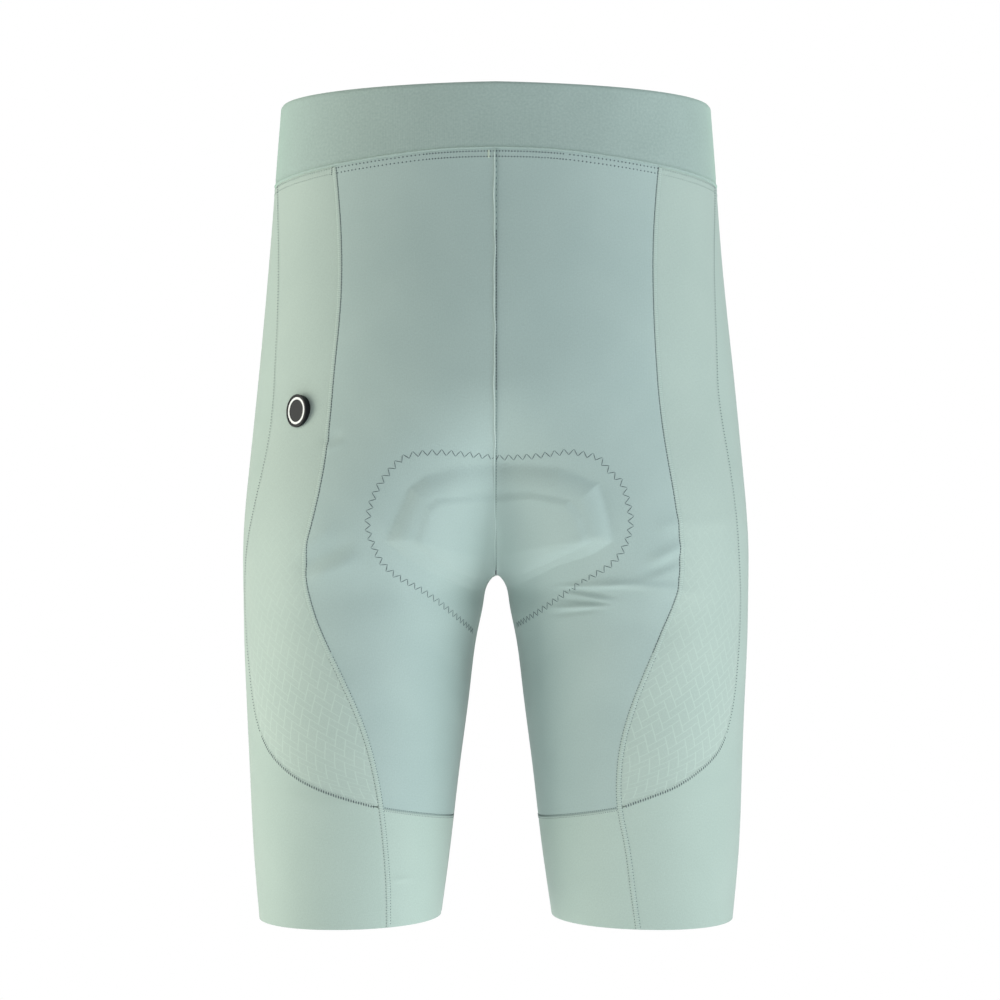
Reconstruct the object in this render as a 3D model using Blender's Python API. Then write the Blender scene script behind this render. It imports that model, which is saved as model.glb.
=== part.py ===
"""Cycling tights to above the knee, filled out as they are worn.

The back faces -Y and +Z is up. The origin is the middle of the waistband, half way up its sides.
The cloth follows one body form: an oval trunk that parts into two oval legs. Cuts through the
form are rings about the line down each leg, and each panel lies between two seams, each an
angle on those rings. A ring angle is 0 at the back, 90 at the outer side, 180 at the front
and -90 at the inner side of the leg. All tables are in millimetres and degrees.
"""

import bpy
import bmesh
import numpy as np

MM = 0.001


def table(columns, *rows):
    """Rows of numbers as named columns."""
    return {name: np.array(values, float) for name, values in zip(columns.split(), zip(*rows))}


# Sizes of the cloth
WALL = 1.2 * MM
BAND_WALL = 1.8 * MM
SEAM_GAP = 0.3 * MM
HEM = -493 * MM

# The body form: half width and depths of the trunk's ovals
TRUNK = table(
    "height half_width back front",
    (60, 136.5, 95, 87),
    (28, 138.0, 97, 88),
    (0, 140.0, 99, 90),
    (-52, 143.8, 107, 95),
    (-103, 148.4, 117, 100),
    (-155, 153.5, 125, 102),
    (-206, 158.0, 129, 101),
    (-258, 161.2, 127, 97),
    (-310, 162.0, 118, 92),
)
# The leg's ovals, from its inner to its outer side
LEG = table(
    "height inner outer back front",
    (-150, 2.0, 153.0, 118, 98),
    (-206, 3.0, 158.0, 118, 96),
    (-258, 0.5, 161.2, 108, 92),
    (-272, 4.2, 161.3, 104.2, 90.4),
    (-280, 7.5, 161.3, 102.1, 89.5),
    (-292, 9.6, 161.3, 99.1, 88.1),
    (-310, 12.9, 161.3, 95, 86),
    (-348, 17.6, 160.2, 87, 81),
    (-400, 24.2, 158.0, 77, 74),
    (-452, 30.4, 155.8, 66, 67),
    (-493, 36.0, 152.5, 58, 61),
    (-540, 42.0, 148.5, 50, 55),
)
# The line that the rings turn about, and how far each ring dips towards the crotch
SPINE = table(
    "height across tilt",
    (60, 70, 0),
    (0, 70, 0),
    (-80, 72, 4),
    (-160, 77, 14),
    (-235, 83, 23),
    (-310, 88, 17),
    (-390, 91, 6),
    (-450, 93, 0),
    (-540, 95, 0),
)
SQUARENESS = 2.1
PARTING = 4.0 * MM
BLEND_TOP = -150 * MM
BLEND_FOOT = -284 * MM

# The waistband, its seam measured at its height by the distance from the middle
BAND_TOP = table("turn height", (0, 28.2), (60, 26.6), (90, 25.8), (130, 23.0), (180, 22.0))
BAND_FOOT = table("turn height", (0, -13.0), (20, -14.0), (40, -17.5), (58, -21.2), (75, -24.8), (100, -25.6), (180, -25.0))

# Ring angles of the seams
BACK_SEAM = table(
    "height left right",
    (-5, 27.0, 29.0),
    (-60, 18.5, 20.3),
    (-110, 14.8, 16.0),
    (-160, 14.8, 14.6),
    (-210, 14.8, 15.5),
    (-245, 17.2, 17.0),
    (-272, 19.8, 17.4),
    (-292, 18.4, 15.4),
    (-310, 13.4, 9.6),
    (-330, 5.6, 2.4),
    (-350, -1.8, -3.8),
    (-370, -7.8, -8.6),
    (-392, -12.8, -11.6),
    (-415, -16.9, -12.2),
    (-440, -20.6, -9.7),
    (-465, -24.0, -7.9),
    (-500, -27.2, -4.5),
)
FRONT_SEAM = table(
    "height left right",
    (-20, 80.0, 82.0),
    (-44, 72.0, 74.5),
    (-66, 66.0, 68.0),
    (-120, 56.5, 58.5),
    (-175, 52.8, 52.8),
    (-215, 51.0, 52.6),
    (-245, 53.0, 52.4),
    (-268, 57.5, 52.4),
    (-289, 63.5, 53.4),
    (-307, 66.5, 54.8),
    (-325, 65.5, 54.6),
    (-345, 61.5, 53.4),
    (-362, 58.0, 51.4),
    (-377, 51.2, 46.4),
    (-389, 41.3, 37.8),
    (-398, 28.7, 25.0),
    (-405, 14.5, 12.4),
    (-410, 0.0, -0.5),
    (-415, -16.9, -12.2),
)
INSEAM = table("height angle", (-230, -90), (-260, -93), (-300, -96), (-500, -98))
SIDE_POINT = -415 * MM
# A gentler line beside the middle seams and the inseam, which the columns of a panel follow
DRIFT = table(
    "height back front",
    (-15, -36, 216),
    (-120, -38, 218),
    (-180, -42, 222),
    (-205, -51, 231),
    (-220, -60, 240),
    (-236, -70, 248),
    (-260, -81, 254),
    (-290, -90, 259),
    (-330, -95, 262),
    (-500, -98, 262),
)
DRIFT_EDGE = 4
INSEAM_TURN = 30 * MM
CUFF_DIP = 12.5 * MM
CUFF_CURVE = 1.4
MID_REACH = 150 * MM
EVEN = 0.001 * MM

# The rows of points down the panels: ring heights where their spacing changes, and rows between
ROW_BENDS = (-15, -190, None, -375, -415, -493)
ROW_COUNTS = (14, 8, 11, 8, 6)
COLUMNS = {"back": 10, "side": 4, "front": 14, "cuff": 7}
BAND_COLUMNS = 84
BAND_ROWS = 4
# How far down the rows still follow the waistband seam, and how far up the cuff seam
TOP_EASE = 95 * MM
FOOT_EASE = 45 * MM
# The lengths tried along a ray from the line in each leg
RAY_START = 16 * MM
RAY_END = 168 * MM
RAY_STEP = 8 * MM

# The pad's edge: how far it reaches from the middle, as ring angles on the back and the front
PAD = table(
    "height back front",
    (-177.5, -38.0, -140.0),
    (-190, -16.0, -163.0),
    (-202, -10.0, -166.0),
    (-218, -5.5, -162.0),
    (-238, -4.0, -150.0),
    (-252, -6.0, -138.0),
    (-260, -12.0, -130.0),
    (-267, -28.0, -122.0),
    (-274, -50.0, -112.0),
    (-286, -88.0, -99.0),
)
PAD_THICK = 6.0 * MM
PAD_RIM = 1.6 * MM
PAD_GAP = 0.5 * MM
PAD_SLOPE = 26 * MM
PAD_SNAP = 0.08
PAD_LEG = 85 * MM
PAD_SINK = 3.3 * MM
PAD_SINK_REACH = 58 * MM

# Where the foam under the seat stands proud, seen from behind
FOAM = table("height width", (-203, 8), (-209, 36), (-218, 50), (-235, 58), (-250, 63), (-264, 44), (-284, 16), (-300, 4))
FOAM_CORE = table("height width", (-221, 6), (-225, 30), (-231, 42), (-250, 48), (-262, 34), (-276, 14), (-290, 3))
FOAM_RISE = 2.4 * MM
CORE_RISE = 1.8 * MM
FOAM_SLOPE = 9 * MM
FOAM_END_SLOPE = 5 * MM

# Soft folds: which face they lie on, their middle, half length, slant, half width and height
FOLDS = table(
    "face across height reach slant spread rise",
    (-1, 82, -277, 34, -2, 6.0, 2.2),
    (-1, 64, -284, 22, 3, 5.0, -1.6),
    (-1, 110, -262, 16, 24, 5.5, 1.4),
    (-1, 108, -252, 12, 20, 5.0, -1.0),
    (-1, -108, -258, 20, 20, 7.0, -1.8),
    (-1, -100, -268, 18, 14, 6.0, 1.4),
    (-1, -93, -282, 30, 8, 14.0, -2.0),
    (-1, 96, -300, 26, -10, 12.0, -1.4),
    (1, 86, -238, 42, 24, 17.0, -1.3),
    (1, -90, -234, 38, -26, 17.0, -1.2),
    (1, 106, -268, 34, 12, 15.0, 1.2),
    (1, -102, -266, 32, -10, 15.0, 1.1),
    (1, 96, -150, 40, 40, 18.0, -1.2),
    (1, -90, -140, 36, -34, 18.0, -1.2),
)
FOLD_FADE = 1.25
# The share of the outward way that points back or forward, from where a relief starts to full
FACE_START = 0.15
FACE_SPAN = 0.5

# The rubber badge on the left side panel
BADGE_RING = -185 * MM
BADGE_ANGLE = 30.4
BADGE_RADIUS = 10.0 * MM
BADGE_THICK = 2.4 * MM
# The badge is stiff, so its flat face leans on the bent cloth: its rise to the right and upwards
BADGE_LEAN_RIGHT = 0.08
BADGE_LEAN_UP = 0.13
BADGE_SIDES = 32
BADGE_BEVEL = 0.5 * MM
BADGE_RIM = 0.86
BADGE_FACE = 0.80

COLOURS = {
    "waistband": (0.36, 0.44, 0.41),
    "back": (0.31, 0.39, 0.36),
    "side": (0.46, 0.55, 0.50),
    "front": (0.47, 0.56, 0.52),
    "cuff": (0.45, 0.53, 0.48),
    "chamois_pad": (0.26, 0.30, 0.29),
    "badge": (0.02, 0.02, 0.025),
}


def smooth(at, knots, values):
    """A smooth curve through the points, knots ascending, read at the places given."""
    count = len(knots)
    gap = np.diff(knots)
    matrix = np.eye(count)
    right = np.zeros(count)
    for i in range(1, count - 1):
        matrix[i, i - 1 : i + 2] = gap[i - 1], 2 * (gap[i - 1] + gap[i]), gap[i]
        right[i] = 6 * ((values[i + 1] - values[i]) / gap[i] - (values[i] - values[i - 1]) / gap[i - 1])
    bend = np.linalg.solve(matrix, right)
    at = np.clip(at, knots[0], knots[-1])
    i = np.clip(np.searchsorted(knots, at) - 1, 0, count - 2)
    a = (knots[i + 1] - at) / gap[i]
    b = (at - knots[i]) / gap[i]
    curve = ((a**3 - a) * bend[i] + (b**3 - b) * bend[i + 1]) * gap[i] ** 2 / 6
    return a * values[i] + b * values[i + 1] + curve


def by_height(tab, name, height, scale=MM):
    """A column of a table, read at heights in metres."""
    return smooth(np.asarray(height, float), tab["height"][::-1] * MM, tab[name][::-1] * scale)


def ease(share):
    share = np.clip(share, 0, 1)
    return share * share * (3 - 2 * share)


def oval(x, y, half_width, back, front):
    """How far a point lies outside an oval."""
    depth = np.where(y < 0, back, front)
    reach = (np.abs(x / half_width) ** SQUARENESS + np.abs(y / depth) ** SQUARENESS) ** (2 / SQUARENESS)
    return np.minimum(half_width, np.minimum(back, front)) / 2 * (reach - 1)


def body(p):
    """Negative inside the form, 0 on it: the trunk's oval, turning into the two legs' ovals."""
    x, y, z = p[..., 0], p[..., 1], p[..., 2]
    trunk = oval(x, y, *(by_height(TRUNK, name, z) for name in ("half_width", "back", "front")))
    inner, outer, back, front = (by_height(LEG, name, z) for name in ("inner", "outer", "back", "front"))
    across = np.sqrt(x * x + PARTING**2)
    depth = (front + back) / 2
    leg = oval(across - (inner + outer) / 2, y - (front - back) / 2, (outer - inner) / 2, depth, depth)
    share = ease((BLEND_TOP - z) / (BLEND_TOP - BLEND_FOOT))
    return trunk * (1 - share) + leg * share


def normals(p):
    step = 0.01 * MM
    slopes = [body(p + step * axis) - body(p - step * axis) for axis in np.eye(3)]
    way = np.stack(slopes, -1)
    return way / np.linalg.norm(way, axis=-1, keepdims=True)


def ring(height, angle):
    """The point of the form at an angle on a ring of the right leg, never past the middle plane."""
    height, angle = np.broadcast_arrays(np.asarray(height, float), np.asarray(angle, float))
    tilt = np.radians(by_height(SPINE, "tilt", height, 1))
    turn = np.radians(angle)
    start = np.stack([by_height(SPINE, "across", height), leg_middle(height), height], -1)
    way = np.stack([np.sin(turn) * np.cos(tilt), -np.cos(turn), np.sin(turn) * np.sin(tilt)], -1)
    near = np.zeros(height.shape)
    far = np.full(height.shape, np.nan)
    for reach in np.arange(RAY_START, RAY_END, RAY_STEP):
        p = start + reach * way
        outside = (body(p) > 0) | (p[..., 0] < 0)
        far = np.where(np.isnan(far) & outside, reach, far)
        near = np.where(np.isnan(far), reach, near)
    for _ in range(20):
        half = (near + far) / 2
        p = start + half[..., None] * way
        outside = (body(p) > 0) | (p[..., 0] < 0)
        far = np.where(outside, half, far)
        near = np.where(outside, near, half)
    return start + far[..., None] * way


def leg_middle(height):
    """How far forward the middle of the leg lies."""
    return (by_height(LEG, "front", height) - by_height(LEG, "back", height)) / 2


def on_middle_plane(height, y):
    """The point of the middle plane that lies on a ring."""
    tilt = np.radians(by_height(SPINE, "tilt", height, 1))
    z = height - by_height(SPINE, "across", height) * np.tan(tilt)
    return np.stack(np.broadcast_arrays(0.0, y, z), -1)


def solve(low, high, value):
    """Where a value that rises from low to high crosses 0."""
    for _ in range(22):
        half = (low + high) / 2
        above = value(half) > 0
        high = np.where(above, half, high)
        low = np.where(above, low, half)
    return (low + high) / 2


def lowest_middle():
    """The ring height and the depth of the lowest point of the middle plane's outline."""
    y = np.linspace(-30, 20, 501) * MM
    height = solve(np.full(y.shape, -260 * MM), np.full(y.shape, -200 * MM), lambda h: -body(on_middle_plane(h, y)))
    lowest = int(np.argmin(height))
    return float(height[lowest]), float(y[lowest])


CROTCH, CROTCH_Y = lowest_middle()


def middle_angle(height, front):
    """The ring angle of the middle of the back or the front, and of the inseam below the crotch."""
    height = np.asarray(height, float)
    above = np.maximum(height, CROTCH)
    inside = np.full(height.shape, CROTCH_Y)
    edge = np.full(height.shape, (MID_REACH if front else -MID_REACH))
    y = solve(inside, edge, lambda at: body(on_middle_plane(above, at)))
    y = np.where(height <= CROTCH, CROTCH_Y, y)
    tilt = np.radians(by_height(SPINE, "tilt", above, 1))
    across = -by_height(SPINE, "across", above) / np.cos(tilt)
    found = np.degrees(np.arctan2(across, leg_middle(above) - y))
    inseam = by_height(INSEAM, "angle", height, 1)
    eased = found + (inseam - found) * ease((CROTCH - height) / INSEAM_TURN)
    return np.where(height > CROTCH, found, eased) + (360 if front else 0)


def band_seam(p):
    """The height of the waistband's lower seam where a point lies."""
    turn = np.degrees(np.arctan2(np.abs(p[..., 0]), -p[..., 1]))
    return smooth(turn, BAND_FOOT["turn"], BAND_FOOT["height"] * MM)


def stations():
    """The heights of the rows, closer together at the crotch and at the side panel's foot."""
    bends = [CROTCH / MM if bend is None else bend for bend in ROW_BENDS]
    parts = [np.linspace(a, b, n, endpoint=False) for a, b, n in zip(bends, bends[1:], ROW_COUNTS)]
    return np.append(np.concatenate(parts), bends[-1]) * MM


def between(low, high, height, share, drift):
    """Ring angles between two seams. A seam named as drift pulls only the columns beside it."""
    start = low(height)
    end = high(height)
    if drift == "back":
        eased = by_height(DRIFT, drift, height, 1)
        return eased * (1 - share) + end * share + (start - eased) * (1 - share) ** DRIFT_EDGE
    if drift == "front":
        eased = by_height(DRIFT, drift, height, 1)
        return start * (1 - share) + eased * share + (end - eased) * share**DRIFT_EDGE
    return start * (1 - share) + end * share


def patch(low, high, foot, columns, rows, drift):
    """A grid of ring heights and angles between two seams, from the waistband down."""
    share = np.linspace(0, 1, columns + 1)[None, :]
    height = np.repeat(rows[:, None], columns + 1, 1)
    if rows[0] > SIDE_POINT:
        top = np.full(columns + 1, rows[0])
        for _ in range(6):
            p = ring(top, between(low, high, top, share[0], drift))
            top = top + band_seam(p) - p[:, 2]
        height = height + (top - rows[0]) * ease(1 + (height - rows[0]) / TOP_EASE)
    if foot is not None:
        height = height + foot(share) * ease(1 + (rows[-1] - height) / FOOT_EASE)
    return height, between(low, high, height, share, drift)


def facing(out, face):
    """1 where the cloth faces the back (-1) or the front (1), fading to 0 where it turns away."""
    return ease((face * out[..., 1] - FACE_START) / FACE_SPAN)


def foam_rise(p, out):
    """How far the foam in the seat lifts the cloth."""
    lift = np.zeros(p.shape[:-1])
    for outline, rise in ((FOAM, FOAM_RISE), (FOAM_CORE, CORE_RISE)):
        width = by_height(outline, "width", p[..., 2])
        inside = (width - np.abs(p[..., 0])) / FOAM_SLOPE
        ends = outline["height"] * MM
        within = np.minimum(ends[0] - p[..., 2], p[..., 2] - ends[-1]) / FOAM_END_SLOPE
        lift += rise * ease(np.minimum(inside, within))
    return lift * facing(out, -1)


def fold_rise(p, out):
    """How far the folds move the cloth in or out."""
    lift = np.zeros(p.shape[:-1])
    for row in zip(*FOLDS.values()):
        face, across, height, reach, slant, spread, rise = row
        turn = np.radians(slant)
        x = p[..., 0] - across * MM
        z = p[..., 2] - height * MM
        along = (x * np.cos(turn) + z * np.sin(turn)) / (reach * MM)
        aside = (z * np.cos(turn) - x * np.sin(turn)) / (spread * MM)
        lift += rise * MM * np.exp(-(aside**2)) * ease(FOLD_FADE - np.abs(along)) * facing(out, face)
    return lift


def mirrored(p, side):
    return p * np.array([side, 1, 1])


def inset(p, edges):
    """Draws the named edges of a grid of points in by half a seam gap."""
    p = p.copy()
    for edge in edges:
        grid = {"top": p, "foot": p[::-1], "low": p.transpose(1, 0, 2), "high": p[:, ::-1].transpose(1, 0, 2)}[edge]
        way = grid[1] - grid[0]
        run = np.gradient(grid[0], axis=0)
        run /= np.linalg.norm(run, axis=-1, keepdims=True)
        way -= (way * run).sum(-1, keepdims=True) * run
        grid[0] += way / np.linalg.norm(way, axis=-1, keepdims=True) * SEAM_GAP / 2
    return p


def material(name, colour, roughness=0.8):
    made = bpy.data.materials.new(name)
    made.use_nodes = True
    shader = made.node_tree.nodes["Principled BSDF"]
    shader.inputs["Base Color"].default_value = (*colour, 1)
    shader.inputs["Roughness"].default_value = roughness
    return made


def solid(name, points, faces, finish):
    """One closed body from points and faces, its faces turned outwards."""
    mesh = bpy.data.meshes.new(name)
    mesh.from_pydata([tuple(p) for p in points], [], faces)
    shape = bmesh.new()
    shape.from_mesh(mesh)
    bmesh.ops.triangulate(shape, faces=shape.faces[:])
    bmesh.ops.recalc_face_normals(shape, faces=shape.faces[:])
    shape.to_mesh(mesh)
    shape.free()
    made = bpy.data.objects.new(name, mesh)
    made.data.materials.append(finish)
    bpy.context.scene.collection.objects.link(made)
    return made


def split(corners, points):
    """The two triangles of a four-cornered face, parted along its shorter diagonal."""
    a, b, c, d = corners
    if np.linalg.norm(points[a] - points[c]) < np.linalg.norm(points[b] - points[d]) + EVEN:
        return [a, b, c], [a, c, d]
    return [b, c, d], [b, d, a]


def wall_faces(points, rows, columns, closed=False):
    """The faces of a wall: an outer grid, an inner grid and the rims that join them."""
    count = rows * columns
    wide = columns if closed else columns - 1

    def at(i, j, inner=0):
        return inner * count + i * columns + j % columns

    faces = []
    for i in range(rows - 1):
        for j in range(wide):
            for face in split((at(i, j), at(i, j + 1), at(i + 1, j + 1), at(i + 1, j)), points):
                faces.append(face)
                faces.append([corner + count for corner in reversed(face)])
    for i in (0, rows - 1):
        for j in range(wide):
            faces.append([at(i, j), at(i, j, 1), at(i, j + 1, 1), at(i, j + 1)])
    if not closed:
        for j in (0, columns - 1):
            for i in range(rows - 1):
                faces.append([at(i, j), at(i + 1, j), at(i + 1, j, 1), at(i, j, 1)])
    return faces


def cloth(name, p, finish, thick=WALL, closed=False):
    """A wall of cloth on a grid of points of the form, raised by the foam and the folds."""
    out = normals(p)
    outer = p + out * (foam_rise(p, out) + fold_rise(p, out))[..., None]
    inner = outer - out * thick
    on_seam = np.abs(p[..., 0]) < SEAM_GAP
    outer[on_seam, 0] = p[on_seam, 0]
    inner[on_seam, 0] = p[on_seam, 0]
    points = np.concatenate([outer.reshape(-1, 3), inner.reshape(-1, 3)])
    return solid(name, points, wall_faces(points, *p.shape[:2], closed), finish)


def trunk_point(turn, height):
    """The point of the trunk at an angle round the middle line, 0 at the back."""
    turn, height = np.broadcast_arrays(np.radians(turn), height)
    x, y = np.sin(turn), -np.cos(turn)
    depth = np.where(y < 0, by_height(TRUNK, "back", height), by_height(TRUNK, "front", height))
    across = np.abs(x / by_height(TRUNK, "half_width", height)) ** SQUARENESS
    reach = (across + np.abs(y / depth) ** SQUARENESS) ** (-1 / SQUARENESS)
    return np.stack([reach * x, reach * y, height], -1)


def make_waistband():
    """The brushed elastic band, one closed ring above the panels."""
    turn = np.linspace(-180, 180, BAND_COLUMNS, endpoint=False)[None, :]
    top = smooth(np.abs(turn), BAND_TOP["turn"], BAND_TOP["height"] * MM)
    foot = smooth(np.abs(turn), BAND_FOOT["turn"], BAND_FOOT["height"] * MM) + SEAM_GAP / 2
    share = np.linspace(0, 1, BAND_ROWS + 1)[:, None]
    cloth("waistband", trunk_point(turn, top + (foot - top) * share), finishes["waistband"], BAND_WALL, True)


def centre_back(height):
    return middle_angle(height, False)


def centre_front(height):
    return middle_angle(height, True)


def back_seam(word):
    return lambda height: by_height(BACK_SEAM, word, height, 1)


def front_seam(word):
    """The seam before the side panel, and below its point the seam up the back of the leg."""
    behind = back_seam(word)
    return lambda height: np.where(height > SIDE_POINT, by_height(FRONT_SEAM, word, height, 1), behind(height))


def cuff_dip(share):
    return -CUFF_DIP * (1 - share**CUFF_CURVE)


def make_panels(word, side):
    """The back, side and front panels of one half, and the grids that the pad is made from."""
    rows = stations()
    upper = rows[rows > SIDE_POINT - 1e-6]
    plans = {
        "back": (centre_back, back_seam(word), cuff_dip, upper, ("top", "foot", "low", "high")),
        "side": (back_seam(word), front_seam(word), None, upper[:-1], ("top", "low", "high")),
        "front": (front_seam(word), centre_front, None, rows, ("top", "low", "high")),
    }
    grids = {}
    for kind, (low, high, foot, heights, edges) in plans.items():
        height, angle = patch(low, high, foot, COLUMNS[kind], heights, kind)
        p = ring(height, angle)
        cloth(f"{kind}_{word}", mirrored(inset(p, edges), side), finishes[kind])
        grids[kind] = (height, angle, mirrored(p, side))
    return grids


def make_cuff(word, side):
    """The inner cuff piece between the seam up the back of the leg and the inseam."""
    rows = stations()
    height = rows[rows < SIDE_POINT + 1e-6][:, None]
    share = np.linspace(0, 1, COLUMNS["cuff"] + 1)[None, :]
    height = height + cuff_dip(share) * ease((height - HEM) / (SIDE_POINT - HEM))
    angle = between(centre_back, back_seam(word), height, share, "back")
    p = inset(ring(height, angle), ("top", "low", "high"))
    cloth(f"cuff_{word}", mirrored(p, side), finishes["cuff"])


def pad_depth(height, angle):
    """How far inside the pad's edge a place lies, measured round the leg and up to its top."""
    back = by_height(PAD, "back", height, 1) - angle
    front = angle - by_height(PAD, "front", height, 1)
    return np.minimum(np.radians(np.minimum(back, front)) * PAD_LEG, PAD["height"][0] * MM - height)


def pad_rows(height, angle, p, column):
    """The rows of a panel's points that the pad covers, each ending at the pad's edge."""
    out = normals(p)
    depth = pad_depth(height, angle)
    sink = PAD_SINK * ease(1.2 - depth / PAD_SINK_REACH)
    outer = p + out * (foam_rise(p, out) + fold_rise(p, out) - WALL - PAD_GAP - sink)[..., None]
    way = 1 if column == "back" else -1
    rows = []
    for i in range(len(p)):
        if not PAD["height"][-1] * MM < height[i, 0] < (PAD["height"][0] + 1) * MM:
            continue
        edge = by_height(PAD, column, height[i, 0], 1)
        place = np.interp(way * edge, way * angle[i], np.arange(len(p[i])))
        whole = int(np.ceil(place - PAD_SNAP))
        row = [(outer[i, j], out[i, j], depth[i, j]) for j in range(max(whole, 1))]
        if whole > 0:
            part = place - (whole - 1)
            tip = [grid[i, whole - 1] * (1 - part) + grid[i, whole] * part for grid in (outer, out)]
            row.append((*tip, 0.0))
        rows.append(row)
    return rows


def strip(a, b, points):
    """Triangles between two rows of corners, the longer one's rest in a fan to the shorter's end."""
    faces = []
    even = min(len(a), len(b)) - 1
    for j in range(even):
        faces.extend(split((a[j], a[j + 1], b[j + 1], b[j]), points))
    faces.extend([a[j], a[j + 1], b[-1]] for j in range(even, len(a) - 1))
    faces.extend([a[-1], b[j + 1], b[j]] for j in range(even, len(b) - 1))
    return faces


def make_pad(halves):
    """The foam pad inside the seat, made from the points of the panels that it backs."""
    index = {}
    faces = []
    outer = []
    inner = []

    def at(point):
        place, out, depth = point
        key = tuple(np.round(place, 5) + 0.0)
        if key not in index:
            index[key] = len(outer)
            thick = PAD_RIM + (PAD_THICK - PAD_RIM) * ease(depth / PAD_SLOPE)
            outer.append(place)
            inner.append(place - out / np.linalg.norm(out) * thick)
        return index[key]

    for grids in halves:
        for kind in ("back", "front"):
            height, angle, p = grids[kind]
            if kind == "front":
                height, angle, p = height[:, ::-1], angle[:, ::-1] - 360, p[:, ::-1]
            rows = [[at(point) for point in row] for row in pad_rows(height, angle, p, kind)]
            for a, b in zip(rows, rows[1:]):
                faces.extend(strip(a, b, outer))
    edges = {}
    for face in faces:
        for pair in zip(face, face[1:] + face[:1]):
            edges.setdefault(tuple(sorted(pair)), []).append(pair)
    count = len(outer)
    rim = [pairs[0] for pairs in edges.values() if len(pairs) == 1]
    sides = [[a, b, b + count, a + count] for a, b in rim]
    under = [[i + count for i in reversed(face)] for face in faces]
    solid("chamois_pad", outer + inner, faces + under + sides, finishes["chamois_pad"])


def make_badge():
    """A round rubber badge, its back on the left side panel and its rim raised."""
    centre = mirrored(ring(BADGE_RING, BADGE_ANGLE), -1)
    out = normals(centre)
    across = np.cross([0, 0, 1], out)
    across /= np.linalg.norm(across)
    up = np.cross(out, across)
    turn = np.linspace(0, 2 * np.pi, BADGE_SIDES, endpoint=False)[:, None]
    spoke = np.cos(turn) * across + np.sin(turn) * up
    flat = centre + spoke * BADGE_RADIUS
    under = flat - (body(flat)[:, None]) * out + out * SEAM_GAP
    rims = (
        (BADGE_RADIUS, -BADGE_BEVEL),
        (BADGE_RADIUS - BADGE_BEVEL, 0.0),
        (BADGE_RADIUS * BADGE_RIM, 0.0),
        (BADGE_RADIUS * BADGE_FACE, -BADGE_BEVEL),
    )
    lean = np.cos(turn) * BADGE_LEAN_RIGHT + np.sin(turn) * BADGE_LEAN_UP
    points = list(under)
    for radius, lift in rims:
        points.extend(centre + spoke * radius + out * (lean * radius + BADGE_THICK + lift))
    top = len(rims) * BADGE_SIDES
    faces = [list(range(BADGE_SIDES))[::-1], list(range(top, top + BADGE_SIDES))]
    for level in range(len(rims)):
        for i in range(BADGE_SIDES):
            a, b = level * BADGE_SIDES + i, level * BADGE_SIDES + (i + 1) % BADGE_SIDES
            faces.append([a, b, b + BADGE_SIDES, a + BADGE_SIDES])
    solid("badge", points, faces, finishes["badge"])


for old in list(bpy.data.objects):
    bpy.data.objects.remove(old)
finishes = {name: material(name, colour) for name, colour in COLOURS.items()}
make_waistband()
halves = [make_panels("left", -1), make_panels("right", 1)]
make_cuff("left", -1)
make_cuff("right", 1)
make_pad(halves)
make_badge()
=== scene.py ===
import math

import bmesh
import bpy
import numpy as np
from mathutils import Matrix, Vector


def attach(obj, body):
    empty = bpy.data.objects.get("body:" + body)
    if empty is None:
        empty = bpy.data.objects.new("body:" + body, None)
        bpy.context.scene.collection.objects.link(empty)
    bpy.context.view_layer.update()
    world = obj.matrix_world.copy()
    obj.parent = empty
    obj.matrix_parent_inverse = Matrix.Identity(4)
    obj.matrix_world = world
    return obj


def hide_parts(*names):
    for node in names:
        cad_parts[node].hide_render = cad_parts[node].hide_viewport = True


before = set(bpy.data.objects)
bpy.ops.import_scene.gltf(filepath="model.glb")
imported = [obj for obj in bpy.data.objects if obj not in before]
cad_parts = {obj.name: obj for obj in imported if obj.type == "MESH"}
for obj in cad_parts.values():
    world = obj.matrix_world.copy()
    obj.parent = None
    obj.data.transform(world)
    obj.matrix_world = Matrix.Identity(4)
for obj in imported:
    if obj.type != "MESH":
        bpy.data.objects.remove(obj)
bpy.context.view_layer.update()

# Waistband
# The wide band is a brushed elastic of nylon and elastane, doubled over at its top edge. It is one
# closed ring, joined to the panels in one seam that rises to the middle of the back.

MM = 0.001


def table(columns, *rows):
    """Rows of numbers as named columns."""
    return {name: np.array(values, float) for name, values in zip(columns.split(), zip(*rows))}


# The tights are filled out as they are worn, so band and panels follow one body form: an oval trunk
# that parts into two oval legs. Tables are in millimetres and degrees.
TRUNK = table(
    "height half_width back front",
    (60, 136.5, 95, 87),
    (28, 138.0, 97, 88),
    (0, 140.0, 99, 90),
    (-52, 143.8, 107, 95),
    (-103, 148.4, 117, 100),
    (-155, 153.5, 125, 102),
    (-206, 158.0, 129, 101),
    (-258, 161.2, 127, 97),
    (-310, 162.0, 118, 92),
)
LEG = table(
    "height inner outer back front",
    (-150, 2.0, 153.0, 118, 98),
    (-206, 3.0, 158.0, 118, 96),
    (-258, 0.5, 161.2, 108, 92),
    (-272, 4.2, 161.3, 104.2, 90.4),
    (-280, 7.5, 161.3, 102.1, 89.5),
    (-292, 9.6, 161.3, 99.1, 88.1),
    (-310, 12.9, 161.3, 95, 86),
    (-348, 17.6, 160.2, 87, 81),
    (-400, 24.2, 158.0, 77, 74),
    (-452, 30.4, 155.8, 66, 67),
    (-493, 36.0, 152.5, 58, 61),
    (-540, 42.0, 148.5, 50, 55),
)
SQUARENESS = 2.1
PARTING = 4.0 * MM
BLEND_TOP = -150 * MM
BLEND_FOOT = -284 * MM
SWAY = 0.16 * MM

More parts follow.
